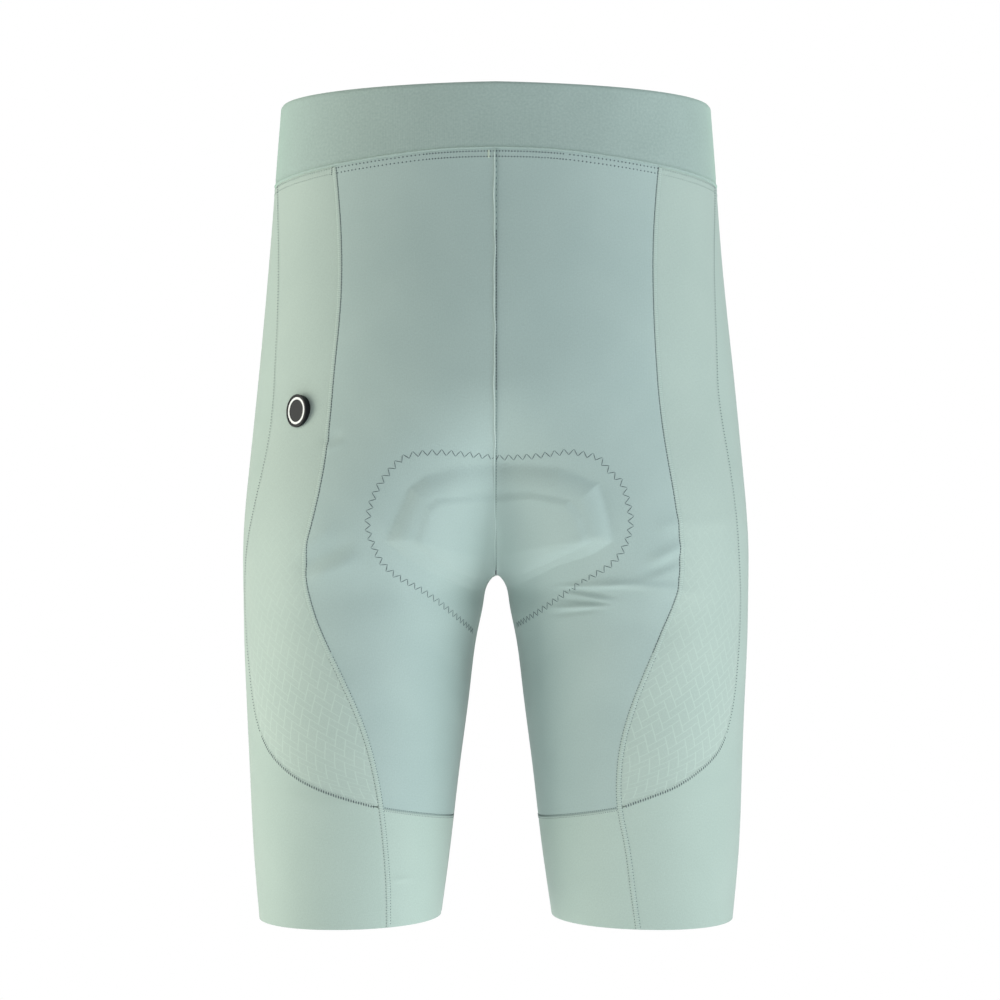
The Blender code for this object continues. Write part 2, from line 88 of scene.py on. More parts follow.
# The band's edges by the angle from the middle of the back
BAND_TOP = table("turn height", (0, 28.2), (60, 26.6), (90, 25.8), (130, 23.0), (180, 22.0))
BAND_FOOT = table(
    "turn height",
    (0, -13.0),
    (20, -14.0),
    (40, -17.5),
    (58, -21.2),
    (75, -24.8),
    (100, -25.6),
    (180, -25.0),
)
BAND_WALL = 1.8 * MM
BAND_ROUNDS = 360
BAND_ROWS = 34

# Where the rows lie closer together down the band, as shares of its height
BAND_CLOSER = (0.008, 0.02, 0.94, 0.955, 0.963, 0.977, 0.983, 0.989, 0.995)

# The top edge turns in. Towards the seam the band dips, and then stands up in a ridge: how far it
# rises, and its place and half width as shares of the height.
TURN_IN = 0.9 * MM
TURN_IN_REACH = 0.03
DIP = (-0.2 * MM, 0.94, 0.03)
RIDGE = (0.55 * MM, 0.983, 0.012)


def smooth(at, knots, values):
    """A smooth curve through the points, knots ascending, read at the places given."""
    count = len(knots)
    gap = np.diff(knots)
    matrix = np.eye(count)
    right = np.zeros(count)
    for i in range(1, count - 1):
        matrix[i, i - 1 : i + 2] = gap[i - 1], 2 * (gap[i - 1] + gap[i]), gap[i]
        right[i] = 6 * ((values[i + 1] - values[i]) / gap[i] - (values[i] - values[i - 1]) / gap[i - 1])
    bend = np.linalg.solve(matrix, right)
    at = np.clip(at, knots[0], knots[-1])
    i = np.clip(np.searchsorted(knots, at) - 1, 0, count - 2)
    a = (knots[i + 1] - at) / gap[i]
    b = (at - knots[i]) / gap[i]
    curve = ((a**3 - a) * bend[i] + (b**3 - b) * bend[i + 1]) * gap[i] ** 2 / 6
    return a * values[i] + b * values[i + 1] + curve


def by_height(tab, name, height, scale=MM):
    """A column of a table, read at heights in metres."""
    return smooth(np.asarray(height, float), tab["height"][::-1] * MM, tab[name][::-1] * scale)


def ease(share):
    share = np.clip(share, 0, 1)
    return share * share * (3 - 2 * share)


def oval(x, y, half_width, back, front):
    """How far a point lies outside an oval."""
    depth = np.where(y < 0, back, front)
    reach = (np.abs(x / half_width) ** SQUARENESS + np.abs(y / depth) ** SQUARENESS) ** (2 / SQUARENESS)
    return np.minimum(half_width, np.minimum(back, front)) / 2 * (reach - 1)


def body(p):
    """Negative inside the form, 0 on it: the trunk's oval, turning into the two legs' ovals."""
    x, y, z = p[..., 0], p[..., 1], p[..., 2]
    trunk = oval(x, y, *(by_height(TRUNK, name, z) for name in ("half_width", "back", "front")))
    inner, outer, back, front = (by_height(LEG, name, z) for name in ("inner", "outer", "back", "front"))
    across = np.sqrt(x * x + PARTING**2)
    depth = (front + back) / 2
    leg = oval(across - (inner + outer) / 2, y - (front - back) / 2, (outer - inner) / 2, depth, depth)
    share = ease((BLEND_TOP - z) / (BLEND_TOP - BLEND_FOOT))
    return trunk * (1 - share) + leg * share


def normals(p):
    step = 0.01 * MM
    slopes = [body(p + step * axis) - body(p - step * axis) for axis in np.eye(3)]
    way = np.stack(slopes, -1)
    return way / np.linalg.norm(way, axis=-1, keepdims=True)


def sway(p):
    """The slight unevenness of stretched cloth, a few broad waves of some tenths of a millimetre."""
    x, y, z = (p[..., i] / MM for i in range(3))
    waves = np.sin(x / 31 + z / 47 + 0.6) + np.sin(y / 27 - z / 36 + 1.9)
    return SWAY * (waves + 0.7 * np.sin(x / 19 - z / 23 + y / 41))


def linear(code):
    """An sRGB hex colour in linear light."""
    parts = [int(code[i : i + 2], 16) / 255 for i in (1, 3, 5)]
    return (*(c / 12.92 if c <= 0.04045 else ((c + 0.055) / 1.055) ** 2.4 for c in parts), 1)


def new_finish(name):
    """An empty finish: a shader on an output."""
    finish = bpy.data.materials.new(name)
    finish.use_nodes = True
    return finish, finish.node_tree.nodes["Principled BSDF"]


def add(finish, kind, sockets=None, **settings):
    """Adds one node to a finish: its settings, and a value or a link for each socket named."""
    node = finish.node_tree.nodes.new("ShaderNode" + kind)
    for name, value in settings.items():
        setattr(node, name, value)
    for name, value in (sockets or {}).items():
        if isinstance(value, bpy.types.NodeSocket):
            finish.node_tree.links.new(value, node.inputs[name])
        else:
            node.inputs[name].default_value = value
    return node


def join(finish, source, shader, socket):
    finish.node_tree.links.new(source, shader.inputs[socket])


# A Wave texture of scale 1 repeats every 0.314 units, so this over a pitch gives the scale.
WAVE = math.pi / 10


def place(name, mesh, finish):
    """Puts a finished mesh in the scene as a piece of the tights."""
    piece = bpy.data.objects.new(name, mesh)
    bpy.context.scene.collection.objects.link(piece)
    mesh.materials.append(finish)
    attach(piece, "root")
    return piece


def cloth(name, outer, out, thick, finish, around=False):
    """A wall of cloth on a grid of points, with the way of its thread as a UV map in metres."""
    rows, columns = outer.shape[:2]
    count = rows * columns
    inner = outer - out * thick
    i, j = np.meshgrid(np.arange(rows - 1), np.arange(columns - 1 + around), indexing="ij")
    i, j = i.ravel(), j.ravel()
    spots = ((i, j), (i, j + 1), (i + 1, j + 1), (i + 1, j))
    corners = np.stack([np.stack(spot, -1) for spot in spots], 1)
    faces = [(corners, (0, 0, 0, 0)), (corners[:, ::-1], (1, 1, 1, 1))]
    rims = [(i == 0, 1, 0), (i == rows - 2, 3, 2)]
    if not around:
        rims += [(j == 0, 0, 3), (j == columns - 2, 2, 1)]
    for chosen, a, b in rims:
        edge = corners[chosen]
        faces.append((edge[:, [a, b, b, a]], (0, 0, 1, 1)))
    ids = []
    spots = []
    run = np.linalg.norm(np.diff(outer, axis=1, append=outer[:, :1]), axis=-1)
    along = np.concatenate([np.zeros((rows, 1)), np.cumsum(run, axis=1)], 1)
    along -= along[:, columns // 2, None]
    drop = np.linalg.norm(np.diff(outer, axis=0), axis=-1).mean(1)
    down = -np.concatenate([[0], np.cumsum(drop)])
    for quad, layer in faces:
        ids.append(quad[..., 0] * columns + quad[..., 1] % columns + np.array(layer) * count)
        spots.append(np.stack([along[quad[..., 0], quad[..., 1]], down[quad[..., 0]]], -1))
    ids = np.concatenate(ids)
    spots = np.concatenate(spots)
    first = np.cross(outer[0, 1] - outer[0, 0], outer[1, 0] - outer[0, 0])
    if first @ out[0, 0] > 0:
        ids = ids[:, ::-1]
        spots = spots[:, ::-1]
    mesh = bpy.data.meshes.new(name)
    points = np.concatenate([outer.reshape(-1, 3), inner.reshape(-1, 3)])
    mesh.from_pydata(points.tolist(), [], ids.tolist())
    mesh.uv_layers.new(name="cloth").data.foreach_set("uv", spots.reshape(-1))
    mesh.update()
    if first @ out[0, 0] <= 0:
        mesh.flip_normals()
    piece = place(name, mesh, finish)
    soften(piece)
    return piece


def soften(piece, angle=50):
    """Smooth shading that keeps the edges sharper than an angle."""
    bpy.ops.object.select_all(action="DESELECT")
    bpy.context.view_layer.objects.active = piece
    piece.select_set(True)
    bpy.ops.object.shade_smooth_by_angle(angle=math.radians(angle))


def trunk_point(turn, height):
    """The point of the trunk at an angle round the middle line, 0 at the back."""
    turn, height = np.broadcast_arrays(np.radians(turn), height)
    x, y = np.sin(turn), -np.cos(turn)
    depth = np.where(y < 0, by_height(TRUNK, "back", height), by_height(TRUNK, "front", height))
    across = np.abs(x / by_height(TRUNK, "half_width", height)) ** SQUARENESS
    reach = (across + np.abs(y / depth) ** SQUARENESS) ** (-1 / SQUARENESS)
    return np.stack([reach * x, reach * y, height], -1)


# Brushed elastic: matt and slightly woolly, so it takes a soft grazing sheen and shows fine
# upright ribs. The real ribs are 0.6 mm apart and are drawn at 1.1 mm, so that they show.
elastic, shader = new_finish("brushed elastic")
shader.inputs["Roughness"].default_value = 0.82
shader.inputs["IOR"].default_value = 1.53
shader.inputs["Specular IOR Level"].default_value = 0.35
shader.inputs["Sheen Weight"].default_value = 1.0
shader.inputs["Sheen Tint"].default_value = linear("#cdebd8")
shader.inputs["Sheen Roughness"].default_value = 0.5
thread = add(elastic, "UVMap", uv_map="cloth").outputs["UV"]
ribs = add(
    elastic,
    "TexWave",
    {"Vector": thread, "Scale": WAVE / (1.1 * MM), "Distortion": 0.6, "Detail": 1.0},
    bands_direction="X",
)
nap = add(elastic, "TexNoise", {"Vector": thread, "Scale": 650.0, "Detail": 3.0})
cloud = add(elastic, "TexNoise", {"Vector": thread, "Scale": 34.0, "Detail": 2.0})
tone = add(
    elastic,
    "Mix",
    {"Factor": cloud.outputs["Fac"], "A": linear("#90a29c"), "B": linear("#99aba5")},
    data_type="RGBA",
)
grain = add(elastic, "MapRange", {"Value": nap.outputs["Fac"], "To Min": 0.8, "To Max": 1.18})
shade = add(
    elastic,
    "Mix",
    {"Factor": 1.0, "A": tone.outputs["Result"], "B": grain.outputs["Result"]},
    data_type="RGBA",
    blend_type="MULTIPLY",
)
join(elastic, shade.outputs["Result"], shader, "Base Color")
relief = add(elastic, "Math", {0: ribs.outputs["Fac"], 1: nap.outputs["Fac"]}, operation="ADD")
bump = add(elastic, "Bump", {"Height": relief.outputs["Value"], "Strength": 0.25, "Distance": 0.15 * MM})
join(elastic, bump.outputs["Normal"], shader, "Normal")

turn = np.linspace(-180, 180, BAND_ROUNDS, endpoint=False)[None, :]
top = smooth(np.abs(turn), BAND_TOP["turn"], BAND_TOP["height"] * MM)
foot = smooth(np.abs(turn), BAND_FOOT["turn"], BAND_FOOT["height"] * MM)
share = np.sort(np.concatenate([np.linspace(0, 1, BAND_ROWS), BAND_CLOSER]))[:, None]
points = trunk_point(turn, top + (foot - top) * share)
out = normals(points)
fold_over = -TURN_IN * (1 - ease(share / TURN_IN_REACH))
seam_ridge = sum(rise * np.exp(-(((share - at) / spread) ** 2)) for rise, at, spread in (RIDGE, DIP))
points = points + out * (fold_over + seam_ridge + sway(points))[..., None]
waistband = cloth("elastic_waistband", points, out, BAND_WALL, elastic, around=True)
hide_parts("waistband")

# Back panels
# Two panels of stretch knit run from the waistband down the backs of the thighs to the cuffs. They
# meet in the middle seam, which is pressed to the left, and the foam of the pad inside stands out
# through them in two soft steps. Small creases gather where the pad ends.

SPINE = table(
    "height across tilt",
    (60, 70, 0),
    (0, 70, 0),
    (-80, 72, 4),
    (-160, 77, 14),
    (-235, 83, 23),
    (-310, 88, 17),
    (-390, 91, 6),
    (-450, 93, 0),
    (-540, 95, 0),
)
BACK_SEAM = table(
    "height left right",
    (-5, 27.0, 29.0),
    (-60, 18.5, 20.3),
    (-110, 14.8, 16.0),
    (-160, 14.8, 14.6),
    (-210, 14.8, 15.5),
    (-245, 17.2, 17.0),
    (-272, 19.8, 17.4),
    (-292, 18.4, 15.4),
    (-310, 13.4, 9.6),
    (-330, 5.6, 2.4),
    (-350, -1.8, -3.8),
    (-370, -7.8, -8.6),
    (-392, -12.8, -11.6),
    (-415, -16.9, -12.2),
    (-440, -20.6, -9.7),
    (-465, -24.0, -7.9),
    (-500, -27.2, -4.5),
)
INSEAM = table("height angle", (-230, -90), (-260, -93), (-300, -96), (-500, -98))
DRIFT = table(
    "height back front",
    (-15, -36, 216),
    (-120, -38, 218),
    (-180, -42, 222),
    (-205, -51, 231),
    (-220, -60, 240),
    (-236, -70, 248),
    (-260, -81, 254),
    (-290, -90, 259),
    (-330, -95, 262),
    (-500, -98, 262),
)
DRIFT_EDGE = 4
INSEAM_TURN = 30 * MM
CUFF_DIP = 12.5 * MM
CUFF_CURVE = 1.4
MID_REACH = 150 * MM
PANEL_TOP = -15 * MM
SIDE_POINT = -415 * MM
HEM = -493 * MM
WALL = 1.2 * MM

# How far the left panel stands up along the middle seams and the right one sinks, in tenths of a
# millimetre
PRESSED = {"left": 6.5, "right": -3.5}

# The foam seen from behind: the corners of its outer edge and of the upper step, across and height.
# Each step rises over its slope, which grows wider where the foam thins towards the crotch.
FOAM = (
    *((-65, -251), (-61, -240), (-51, -218.5), (-42, -212), (-25, -207), (2, -204.5)),
    *((39, -207), (61, -216), (66, -233), (70, -251), (58, -259), (36.5, -266)),
    *((17, -277), (7, -282), (-15, -282), (-41, -268.5), (-57, -259)),
)
FOAM_CORE = (
    *((-50, -251), (-43, -229.5), (-36, -224), (-12, -221), (24, -220), (45, -225)),
    *((52, -235), (57, -251), (40, -260), (14, -273), (-14, -274), (-38, -263)),
)
FOAM_RISE = 4.2 * MM
CORE_RISE = 1.2 * MM
FOAM_SLOPE = 13.0 * MM
CORE_SLOPE = 4.0 * MM
FOAM_THINS = -245 * MM
THINS_WITHIN = 20 * MM
WIDER_BY = 1.2

# Folds: the face they lie on, middle, half length, slant, half width and height
FOLDS = table(
    "face across height reach slant spread rise",
    (-1, 84, -277, 30, -4, 2.6, 1.2),
    (-1, 61, -277.5, 24, 3, 1.9, 1.2),
    (-1, 56, -282, 16, -9, 1.4, -1.1),
    (-1, 58, -284.8, 16, -12, 1.3, 0.9),
    (-1, 55, -287.5, 17, -5, 1.3, -1.1),
    (-1, 53, -290.5, 20, 4, 1.6, 0.9),
    (-1, 49, -294, 15, 8, 1.6, -0.5),
    (-1, 108, -282, 22, -4, 4.0, 0.7),
    (-1, 104, -258, 13, 27, 4.2, 1.5),
    (-1, 101, -266, 15, 24, 4.0, -1.1),
    (-1, 98, -271, 16, 20, 3.4, 0.8),
    (-1, 106, -240, 11, 18, 4.5, 0.7),
    (-1, 128, -240, 26, 8, 5.0, 0.5),
    (-1, -103, -259, 20, 27, 4.6, -1.5),
    (-1, -98, -267, 18, 22, 4.6, 1.2),
    (-1, -108, -248, 15, 30, 4.6, 0.8),
    (-1, -99, -189, 8, 24, 3.4, -0.7),
    (-1, -97, -193, 8, 20, 3.2, 0.5),
    (-1, -88, -283, 28, 10, 12.0, -1.6),
    (-1, -60, -262, 30, -38, 9.0, -0.5),
    (-1, 92, -302, 28, -12, 10.0, -1.0),
    (-1, 74, -330, 34, -20, 16.0, 0.7),
    (-1, -76, -338, 34, 24, 16.0, 0.7),
    (-1, -59, -462, 7, 0, 1.2, 0.5),
    (-1, 30, -120, 46, 30, 20.0, -0.5),
    (-1, -34, -140, 46, -34, 20.0, -0.5),
    (1, 86, -238, 42, 24, 15.0, -1.2),
    (1, -90, -234, 38, -26, 15.0, -1.1),
    (1, 106, -268, 34, 12, 13.0, 1.0),
    (1, -102, -266, 32, -10, 13.0, 0.9),
    (1, 96, -150, 40, 40, 16.0, -1.0),
    (1, -90, -140, 36, -34, 16.0, -1.0),
    (1, 44, -276, 18, 26, 3.6, 1.1),
    (1, 48, -284, 17, 22, 3.4, -0.9),
    (1, -42, -272, 20, -30, 3.8, 1.1),
    (1, -48, -281, 17, -24, 3.2, -0.9),
    (1, -40, -291, 14, -16, 3.0, 0.6),
    (1, 58, -262, 24, 30, 4.4, -0.6),
)


def leg_middle(height):
    """How far forward the middle of the leg lies."""
    return (by_height(LEG, "front", height) - by_height(LEG, "back", height)) / 2


def ring(height, angle):
    """The point of the form at an angle on a ring of the right leg, 0 at the back, 90 outside."""
    height, angle = np.broadcast_arrays(np.asarray(height, float), np.asarray(angle, float))
    tilt = np.radians(by_height(SPINE, "tilt", height, 1))
    turn = np.radians(angle)
    start = np.stack([by_height(SPINE, "across", height), leg_middle(height), height], -1)
    way = np.stack([np.sin(turn) * np.cos(tilt), -np.cos(turn), np.sin(turn) * np.sin(tilt)], -1)
    near = np.zeros(height.shape)
    far = np.full(height.shape, np.nan)
    for reach in np.arange(16, 168, 8) * MM:
        p = start + reach * way
        outside = (body(p) > 0) | (p[..., 0] < 0)
        far = np.where(np.isnan(far) & outside, reach, far)
        near = np.where(np.isnan(far), reach, near)
    for _ in range(20):
        half = (near + far) / 2
        p = start + half[..., None] * way
        outside = (body(p) > 0) | (p[..., 0] < 0)
        far = np.where(outside, half, far)
        near = np.where(outside, near, half)
    return start + far[..., None] * way


def on_middle_plane(height, y):
    """The point of the middle plane that lies on a ring."""
    tilt = np.radians(by_height(SPINE, "tilt", height, 1))
    z = height - by_height(SPINE, "across", height) * np.tan(tilt)
    return np.stack(np.broadcast_arrays(0.0, y, z), -1)


def solve(low, high, value):
    """Where a value that rises from low to high crosses 0."""
    for _ in range(22):
        half = (low + high) / 2
        above = value(half) > 0
        high = np.where(above, half, high)
        low = np.where(above, low, half)
    return (low + high) / 2


# The crotch is the lowest place where the form still reaches the middle plane.
y = np.linspace(-30, 20, 501) * MM
low = np.full(y.shape, -260 * MM)
high = np.full(y.shape, -200 * MM)
height = solve(low, high, lambda h: -body(on_middle_plane(h, y)))
CROTCH = float(height.min())
CROTCH_Y = float(y[height.argmin()])


def middle_angle(height, front):
    """The ring angle of the middle of the back or the front, and of the inseam below the crotch."""
    height = np.asarray(height, float)
    above = np.maximum(height, CROTCH)
    inside = np.full(height.shape, CROTCH_Y)
    edge = np.full(height.shape, (MID_REACH if front else -MID_REACH))
    y = solve(inside, edge, lambda at: body(on_middle_plane(above, at)))
    y = np.where(height <= CROTCH, CROTCH_Y, y)
    tilt = np.radians(by_height(SPINE, "tilt", above, 1))
    across = -by_height(SPINE, "across", above) / np.cos(tilt)
    found = np.degrees(np.arctan2(across, leg_middle(above) - y))
    inseam = by_height(INSEAM, "angle", height, 1)
    eased = found + (inseam - found) * ease((CROTCH - height) / INSEAM_TURN)
    return np.where(height > CROTCH, found, eased) + (360 if front else 0)


def centre_back(height):
    return middle_angle(height, False)


def back_seam(word):
    return lambda height: by_height(BACK_SEAM, word, height, 1)


def band_seam(p):
    """The height of the waistband's lower seam where a point lies."""
    turn = np.degrees(np.arctan2(np.abs(p[..., 0]), -p[..., 1]))
    return smooth(turn, BAND_FOOT["turn"], BAND_FOOT["height"] * MM)


def levels(step, low, high):
    """Heights a step apart from the waistband down, closer together just below the seams."""
    top, point, hem = PANEL_TOP / MM, SIDE_POINT / MM, HEM / MM
    bends = (top, -190, CROTCH / MM, -375, point, hem)
    fine = np.array([0.5, 1.0, 1.6])
    parts = [[hem], top - fine, point + fine, point - fine, hem + fine]
    for a, b in zip(bends, bends[1:]):
        parts.append(np.linspace(a, b, max(2, round((a - b) / step)), endpoint=False))
    found = np.unique(np.round(np.concatenate(parts), 3))[::-1] * MM
    slack = 0.0001 * MM
    return found[(found <= high + slack) & (found >= low - slack)]


def shares(width, step):
    """Places from 0 to 1 across a panel, closer together beside its seams."""
    even = np.linspace(0, 1, max(4, round(width / step)) + 1)
    fine = np.array([0.4, 0.8, 1.3, 1.9, 2.6]) / width
    return np.unique(np.round(np.concatenate([even, fine, 1 - fine]), 5))


def between(low, high, height, share, drift):
    """Ring angles between two seams. A seam named as drift pulls only the columns beside it."""
    start = low(height)
    end = high(height)
    if drift == "back":
        eased = by_height(DRIFT, drift, height, 1)
        return eased * (1 - share) + end * share + (start - eased) * (1 - share) ** DRIFT_EDGE
    if drift == "front":
        eased = by_height(DRIFT, drift, height, 1)
        return start * (1 - share) + eased * share + (end - eased) * share**DRIFT_EDGE
    return start * (1 - share) + end * share


# The rows of a panel bend to the waistband's seam above this height, and to the cuff seam within
# this reach of it.
TOP_FITTED = -110 * MM
FOOT_FITTED = 45 * MM


def patch(low, high, foot, share, rows, drift, side):
    """A grid of points of the form between two seams, from the waistband down."""
    share = share[None, :]
    height = np.repeat(rows[:, None], share.shape[1], 1)
    if rows[0] > TOP_FITTED:
        top = np.full(share.shape[1], rows[0])
        for _ in range(6):
            p = ring(top, between(low, high, top, share[0], drift))
            top = top + band_seam(p) - p[:, 2]
        height = height + (top - rows[0]) * ease((height - TOP_FITTED) / (rows[0] - TOP_FITTED))
    if foot is not None:
        height = height + foot(share) * ease((rows[-1] + FOOT_FITTED - height) / FOOT_FITTED)
    return ring(height, between(low, high, height, share, drift)) * np.array([side, 1, 1])


def cuff_dip(share):
    return -CUFF_DIP * (1 - share**CUFF_CURVE)


def facing(out, face):
    """1 where the cloth faces the back (-1) or the front (1), fading to 0 where it turns away."""
    return ease((face * out[..., 1] - 0.15) / 0.5)


def within(p, outline):
    """How far inside an outline on the back a point lies, 0 outside it."""
    spot = p[..., [0, 2]]
    corners = np.array(outline) * MM
    nearest = np.full(spot.shape[:-1], np.inf)
    inside = np.zeros(spot.shape[:-1], bool)
    for a, b in zip(corners, np.roll(corners, -1, axis=0)):
        way = b - a
        share = np.clip((spot - a) @ way / (way @ way), 0, 1)
        nearest = np.minimum(nearest, np.linalg.norm(spot - a - share[..., None] * way, axis=-1))
        crossed = a[0] + (spot[..., 1] - a[1]) * way[0] / (way[1] or 1)
        inside ^= ((a[1] > spot[..., 1]) != (b[1] > spot[..., 1])) & (spot[..., 0] < crossed)
    return np.where(inside, nearest, 0)


def relief_of(p, out):
    """How far foam, folds and the sway of the cloth lift it from the form."""
    lift = np.zeros(p.shape[:-1])
    gentler = 1 + WIDER_BY * ease((FOAM_THINS - p[..., 2]) / THINS_WITHIN)
    steps = ((FOAM, FOAM_RISE, FOAM_SLOPE), (FOAM_CORE, CORE_RISE, CORE_SLOPE))
    for outline, rise, slope in steps:
        level = 1 - np.clip(within(p, outline) / (slope * gentler), 0, 1)
        lift += rise * (1 - level * level) * facing(out, -1)
    for face, across, height, reach, slant, spread, rise in zip(*FOLDS.values()):
        turn = np.radians(slant)
        x = p[..., 0] - across * MM
        z = p[..., 2] - height * MM
        along = (x * np.cos(turn) + z * np.sin(turn)) / (reach * MM)
        aside = (z * np.cos(turn) - x * np.sin(turn)) / (spread * MM)
        lift += rise * MM * np.exp(-(aside**2)) * ease(1.25 - np.abs(along)) * facing(out, face)
    return lift + sway(p)


def beside(p, low=0, high=0, top=0, foot=0, width=1.1):
    """Lifts that run along the edges of a panel, in tenths of a millimetre, fading within a width."""
    run = np.cumsum(np.linalg.norm(np.diff(p, axis=1, prepend=p[:, :1]), axis=-1), axis=1)
    drop = np.cumsum(np.linalg.norm(np.diff(p, axis=0, prepend=p[:1]), axis=-1), axis=0)
    lift = np.zeros(p.shape[:-1])
    for rise, reach in ((low, run), (high, run[:, -1:] - run), (top, drop), (foot, drop[-1:] - drop)):
        lift += rise * 0.1 * MM * np.exp(-((reach / (width * MM)) ** 2))
    return lift


def panel(name, p, finish, lifts):
    """A panel of cloth on points of the form, with its relief and the ridges along its seams."""
    out = normals(p)
    outer = p + out * (relief_of(p, out) + lifts)[..., None]
    on_seam = np.abs(p[..., 0]) < 0.3 * MM
    outer[on_seam, 0] = p[on_seam, 0]
    return cloth(name, outer, out, WALL, finish)


def knit_finish(name, dark, light, pitch, lean=0.0):
    """Fine warp knit: a smooth matt face with a soft sheen and hardly visible wales."""
    knit, shader = new_finish(name)
    shader.inputs["Roughness"].default_value = 0.7
    shader.inputs["IOR"].default_value = 1.53
    shader.inputs["Specular IOR Level"].default_value = 0.35
    shader.inputs["Sheen Weight"].default_value = 0.12
    shader.inputs["Sheen Roughness"].default_value = 0.45
    thread = add(knit, "UVMap", uv_map="cloth").outputs["UV"]
    turned = add(knit, "Mapping", {"Vector": thread, "Rotation": (0, 0, math.radians(lean))})
    wales = add(
        knit,
        "TexWave",
        {"Vector": turned.outputs["Vector"], "Scale": WAVE / pitch, "Distortion": 0.8, "Detail": 1.0},
        bands_direction="X",
    )
    grain = add(knit, "TexNoise", {"Vector": thread, "Scale": 1000.0, "Detail": 3.0, "Roughness": 0.6})
    cloud = add(knit, "TexNoise", {"Vector": thread, "Scale": 22.0, "Detail": 2.0})
    tone = add(
        knit,
        "Mix",
        {"Factor": cloud.outputs["Fac"], "A": linear(dark), "B": linear(light)},
        data_type="RGBA",
    )
    speck = add(knit, "MapRange", {"Value": grain.outputs["Fac"], "To Min": 0.86, "To Max": 1.13})
    stripe = add(knit, "MapRange", {"Value": wales.outputs["Fac"], "To Min": 0.992, "To Max": 1.006})
    both = add(
        knit, "Math", {0: speck.outputs["Result"], 1: stripe.outputs["Result"]}, operation="MULTIPLY"
    )
    shade = add(
        knit,
        "Mix",
        {"Factor": 1.0, "A": tone.outputs["Result"], "B": both.outputs["Value"]},
        data_type="RGBA",
        blend_type="MULTIPLY",
    )
    relief = add(
        knit,
        "Math",
        {0: wales.outputs["Fac"], 1: 0.4, 2: grain.outputs["Fac"]},
        operation="MULTIPLY_ADD",
    )
    bump = add(knit, "Bump", {"Height": relief.outputs["Value"], "Strength": 0.22, "Distance": 0.12 * MM})
    join(knit, bump.outputs["Normal"], shader, "Normal")
    join(knit, shade.outputs["Result"], shader, "Base Color")
    return knit, shader, thread, shade.outputs["Result"]


# Polyamide and elastane knit of the seat: wales 0.5 mm apart, drawn at 1.2 mm.
seat_knit = knit_finish("seat warp knit", "#9aaea9", "#a5b8b2", 1.2 * MM)[0]

HALVES = (("left", -1), ("right", 1))
over_the_foam = np.arange(-300, -200, 0.9) * MM
above_cuff = np.unique(np.concatenate([levels(1.7, SIDE_POINT, PANEL_TOP), over_the_foam]))[::-1]
flattened = 1 - 0.85 * ease((-160 * MM - above_cuff) / (45 * MM))
for word, side in HALVES:
    points = patch(centre_back, back_seam(word), cuff_dip, shares(95, 1.3), above_cuff, "back", side)
    pressed = PRESSED[word] * flattened
    lifts = beside(points, low=pressed[:, None], high=-2, top=-2, foot=-1)
    back = panel(f"back_panel_{word}", points, seat_knit, lifts)
    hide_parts(f"back_{word}")

# Side panels
# A narrower panel wraps the outer thigh from the hip to its point behind the knee. Its knit has a
# tone-on-tone figure of small outlined bricks laid in a herringbone, raised by a finer yarn.

FRONT_SEAM = table(
    "height left right",
    (-20, 80.0, 82.0),
    (-44, 72.0, 74.5),
    (-66, 66.0, 68.0),
    (-120, 56.5, 58.5),
    (-175, 52.8, 52.8),
    (-215, 51.0, 52.6),
    (-245, 53.0, 52.4),
    (-268, 57.5, 52.4),
    (-289, 63.5, 53.4),
    (-307, 66.5, 54.8),
    (-325, 65.5, 54.6),
    (-345, 61.5, 53.4),
    (-362, 58.0, 51.4),
    (-377, 51.2, 46.4),
    (-389, 41.3, 37.8),
    (-398, 28.7, 25.0),
    (-405, 14.5, 12.4),
    (-410, 0.0, -0.5),
    (-415, -16.9, -12.2),
)


def front_seam(word):
    """The seam before the side panel, and below its point the seam up the back of the leg."""
    behind = back_seam(word)

    def angle(height):
        before = by_height(FRONT_SEAM, word, height, 1)
        return np.where(height > SIDE_POINT, before, behind(height))

    return angle


# Jacquard knit: the brick outlines are 0.7 mm wide on bricks of 5 by 10 mm, a shade lighter and
# smoother than the ground, so they show best where light grazes the cloth.
jacquard, shader, thread, ground = knit_finish("tonal jacquard knit", "#a1b3aa", "#a9bab0", 1.2 * MM)
BRICKS_TO_A_METRE = 190
turned = add(
    jacquard,
    "Mapping",
    {"Vector": thread, "Rotation": (0, 0, math.radians(-30)), "Scale": (BRICKS_TO_A_METRE,) * 3},
    vector_type="POINT",
)
spot = add(jacquard, "SeparateXYZ", {"Vector": turned.outputs["Vector"]})
cell, part = (
    [add(jacquard, "Math", {0: spot.outputs[axis]}, operation=kind).outputs["Value"] for axis in "XY"]
    for kind in ("FLOOR", "FRACT")
)
step = add(jacquard, "Math", {0: cell[0], 1: cell[1]}, operation="SUBTRACT").outputs["Value"]
turn_of = add(jacquard, "Math", {0: step, 1: 4.0}, operation="FLOORED_MODULO").outputs["Value"]

# Each square cell has a line on three of its four sides. The side left out goes round with the
# cell's place, so that two cells make one brick and the bricks lie in a herringbone.
line = None
for axis, far, missing in ((0, False, 1), (0, True, 0), (1, False, 2), (1, True, 3)):
    reach = part[axis]
    if far:
        reach = add(jacquard, "Math", {0: 1.0, 1: reach}, operation="SUBTRACT").outputs["Value"]
    bare = add(jacquard, "Math", {0: turn_of, 1: float(missing), 2: 0.5}, operation="COMPARE")
    further = {0: reach, 1: bare.outputs["Value"]}
    reach = add(jacquard, "Math", further, operation="ADD").outputs["Value"]
    if line is not None:
        reach = add(jacquard, "Math", {0: line, 1: reach}, operation="MINIMUM").outputs["Value"]
    line = reach
drawn = add(
    jacquard,
    "MapRange",
    {"Value": line, "From Min": 0.02, "From Max": 0.085, "To Min": 1.0, "To Max": 0.0},
    interpolation_type="SMOOTHSTEP",
)

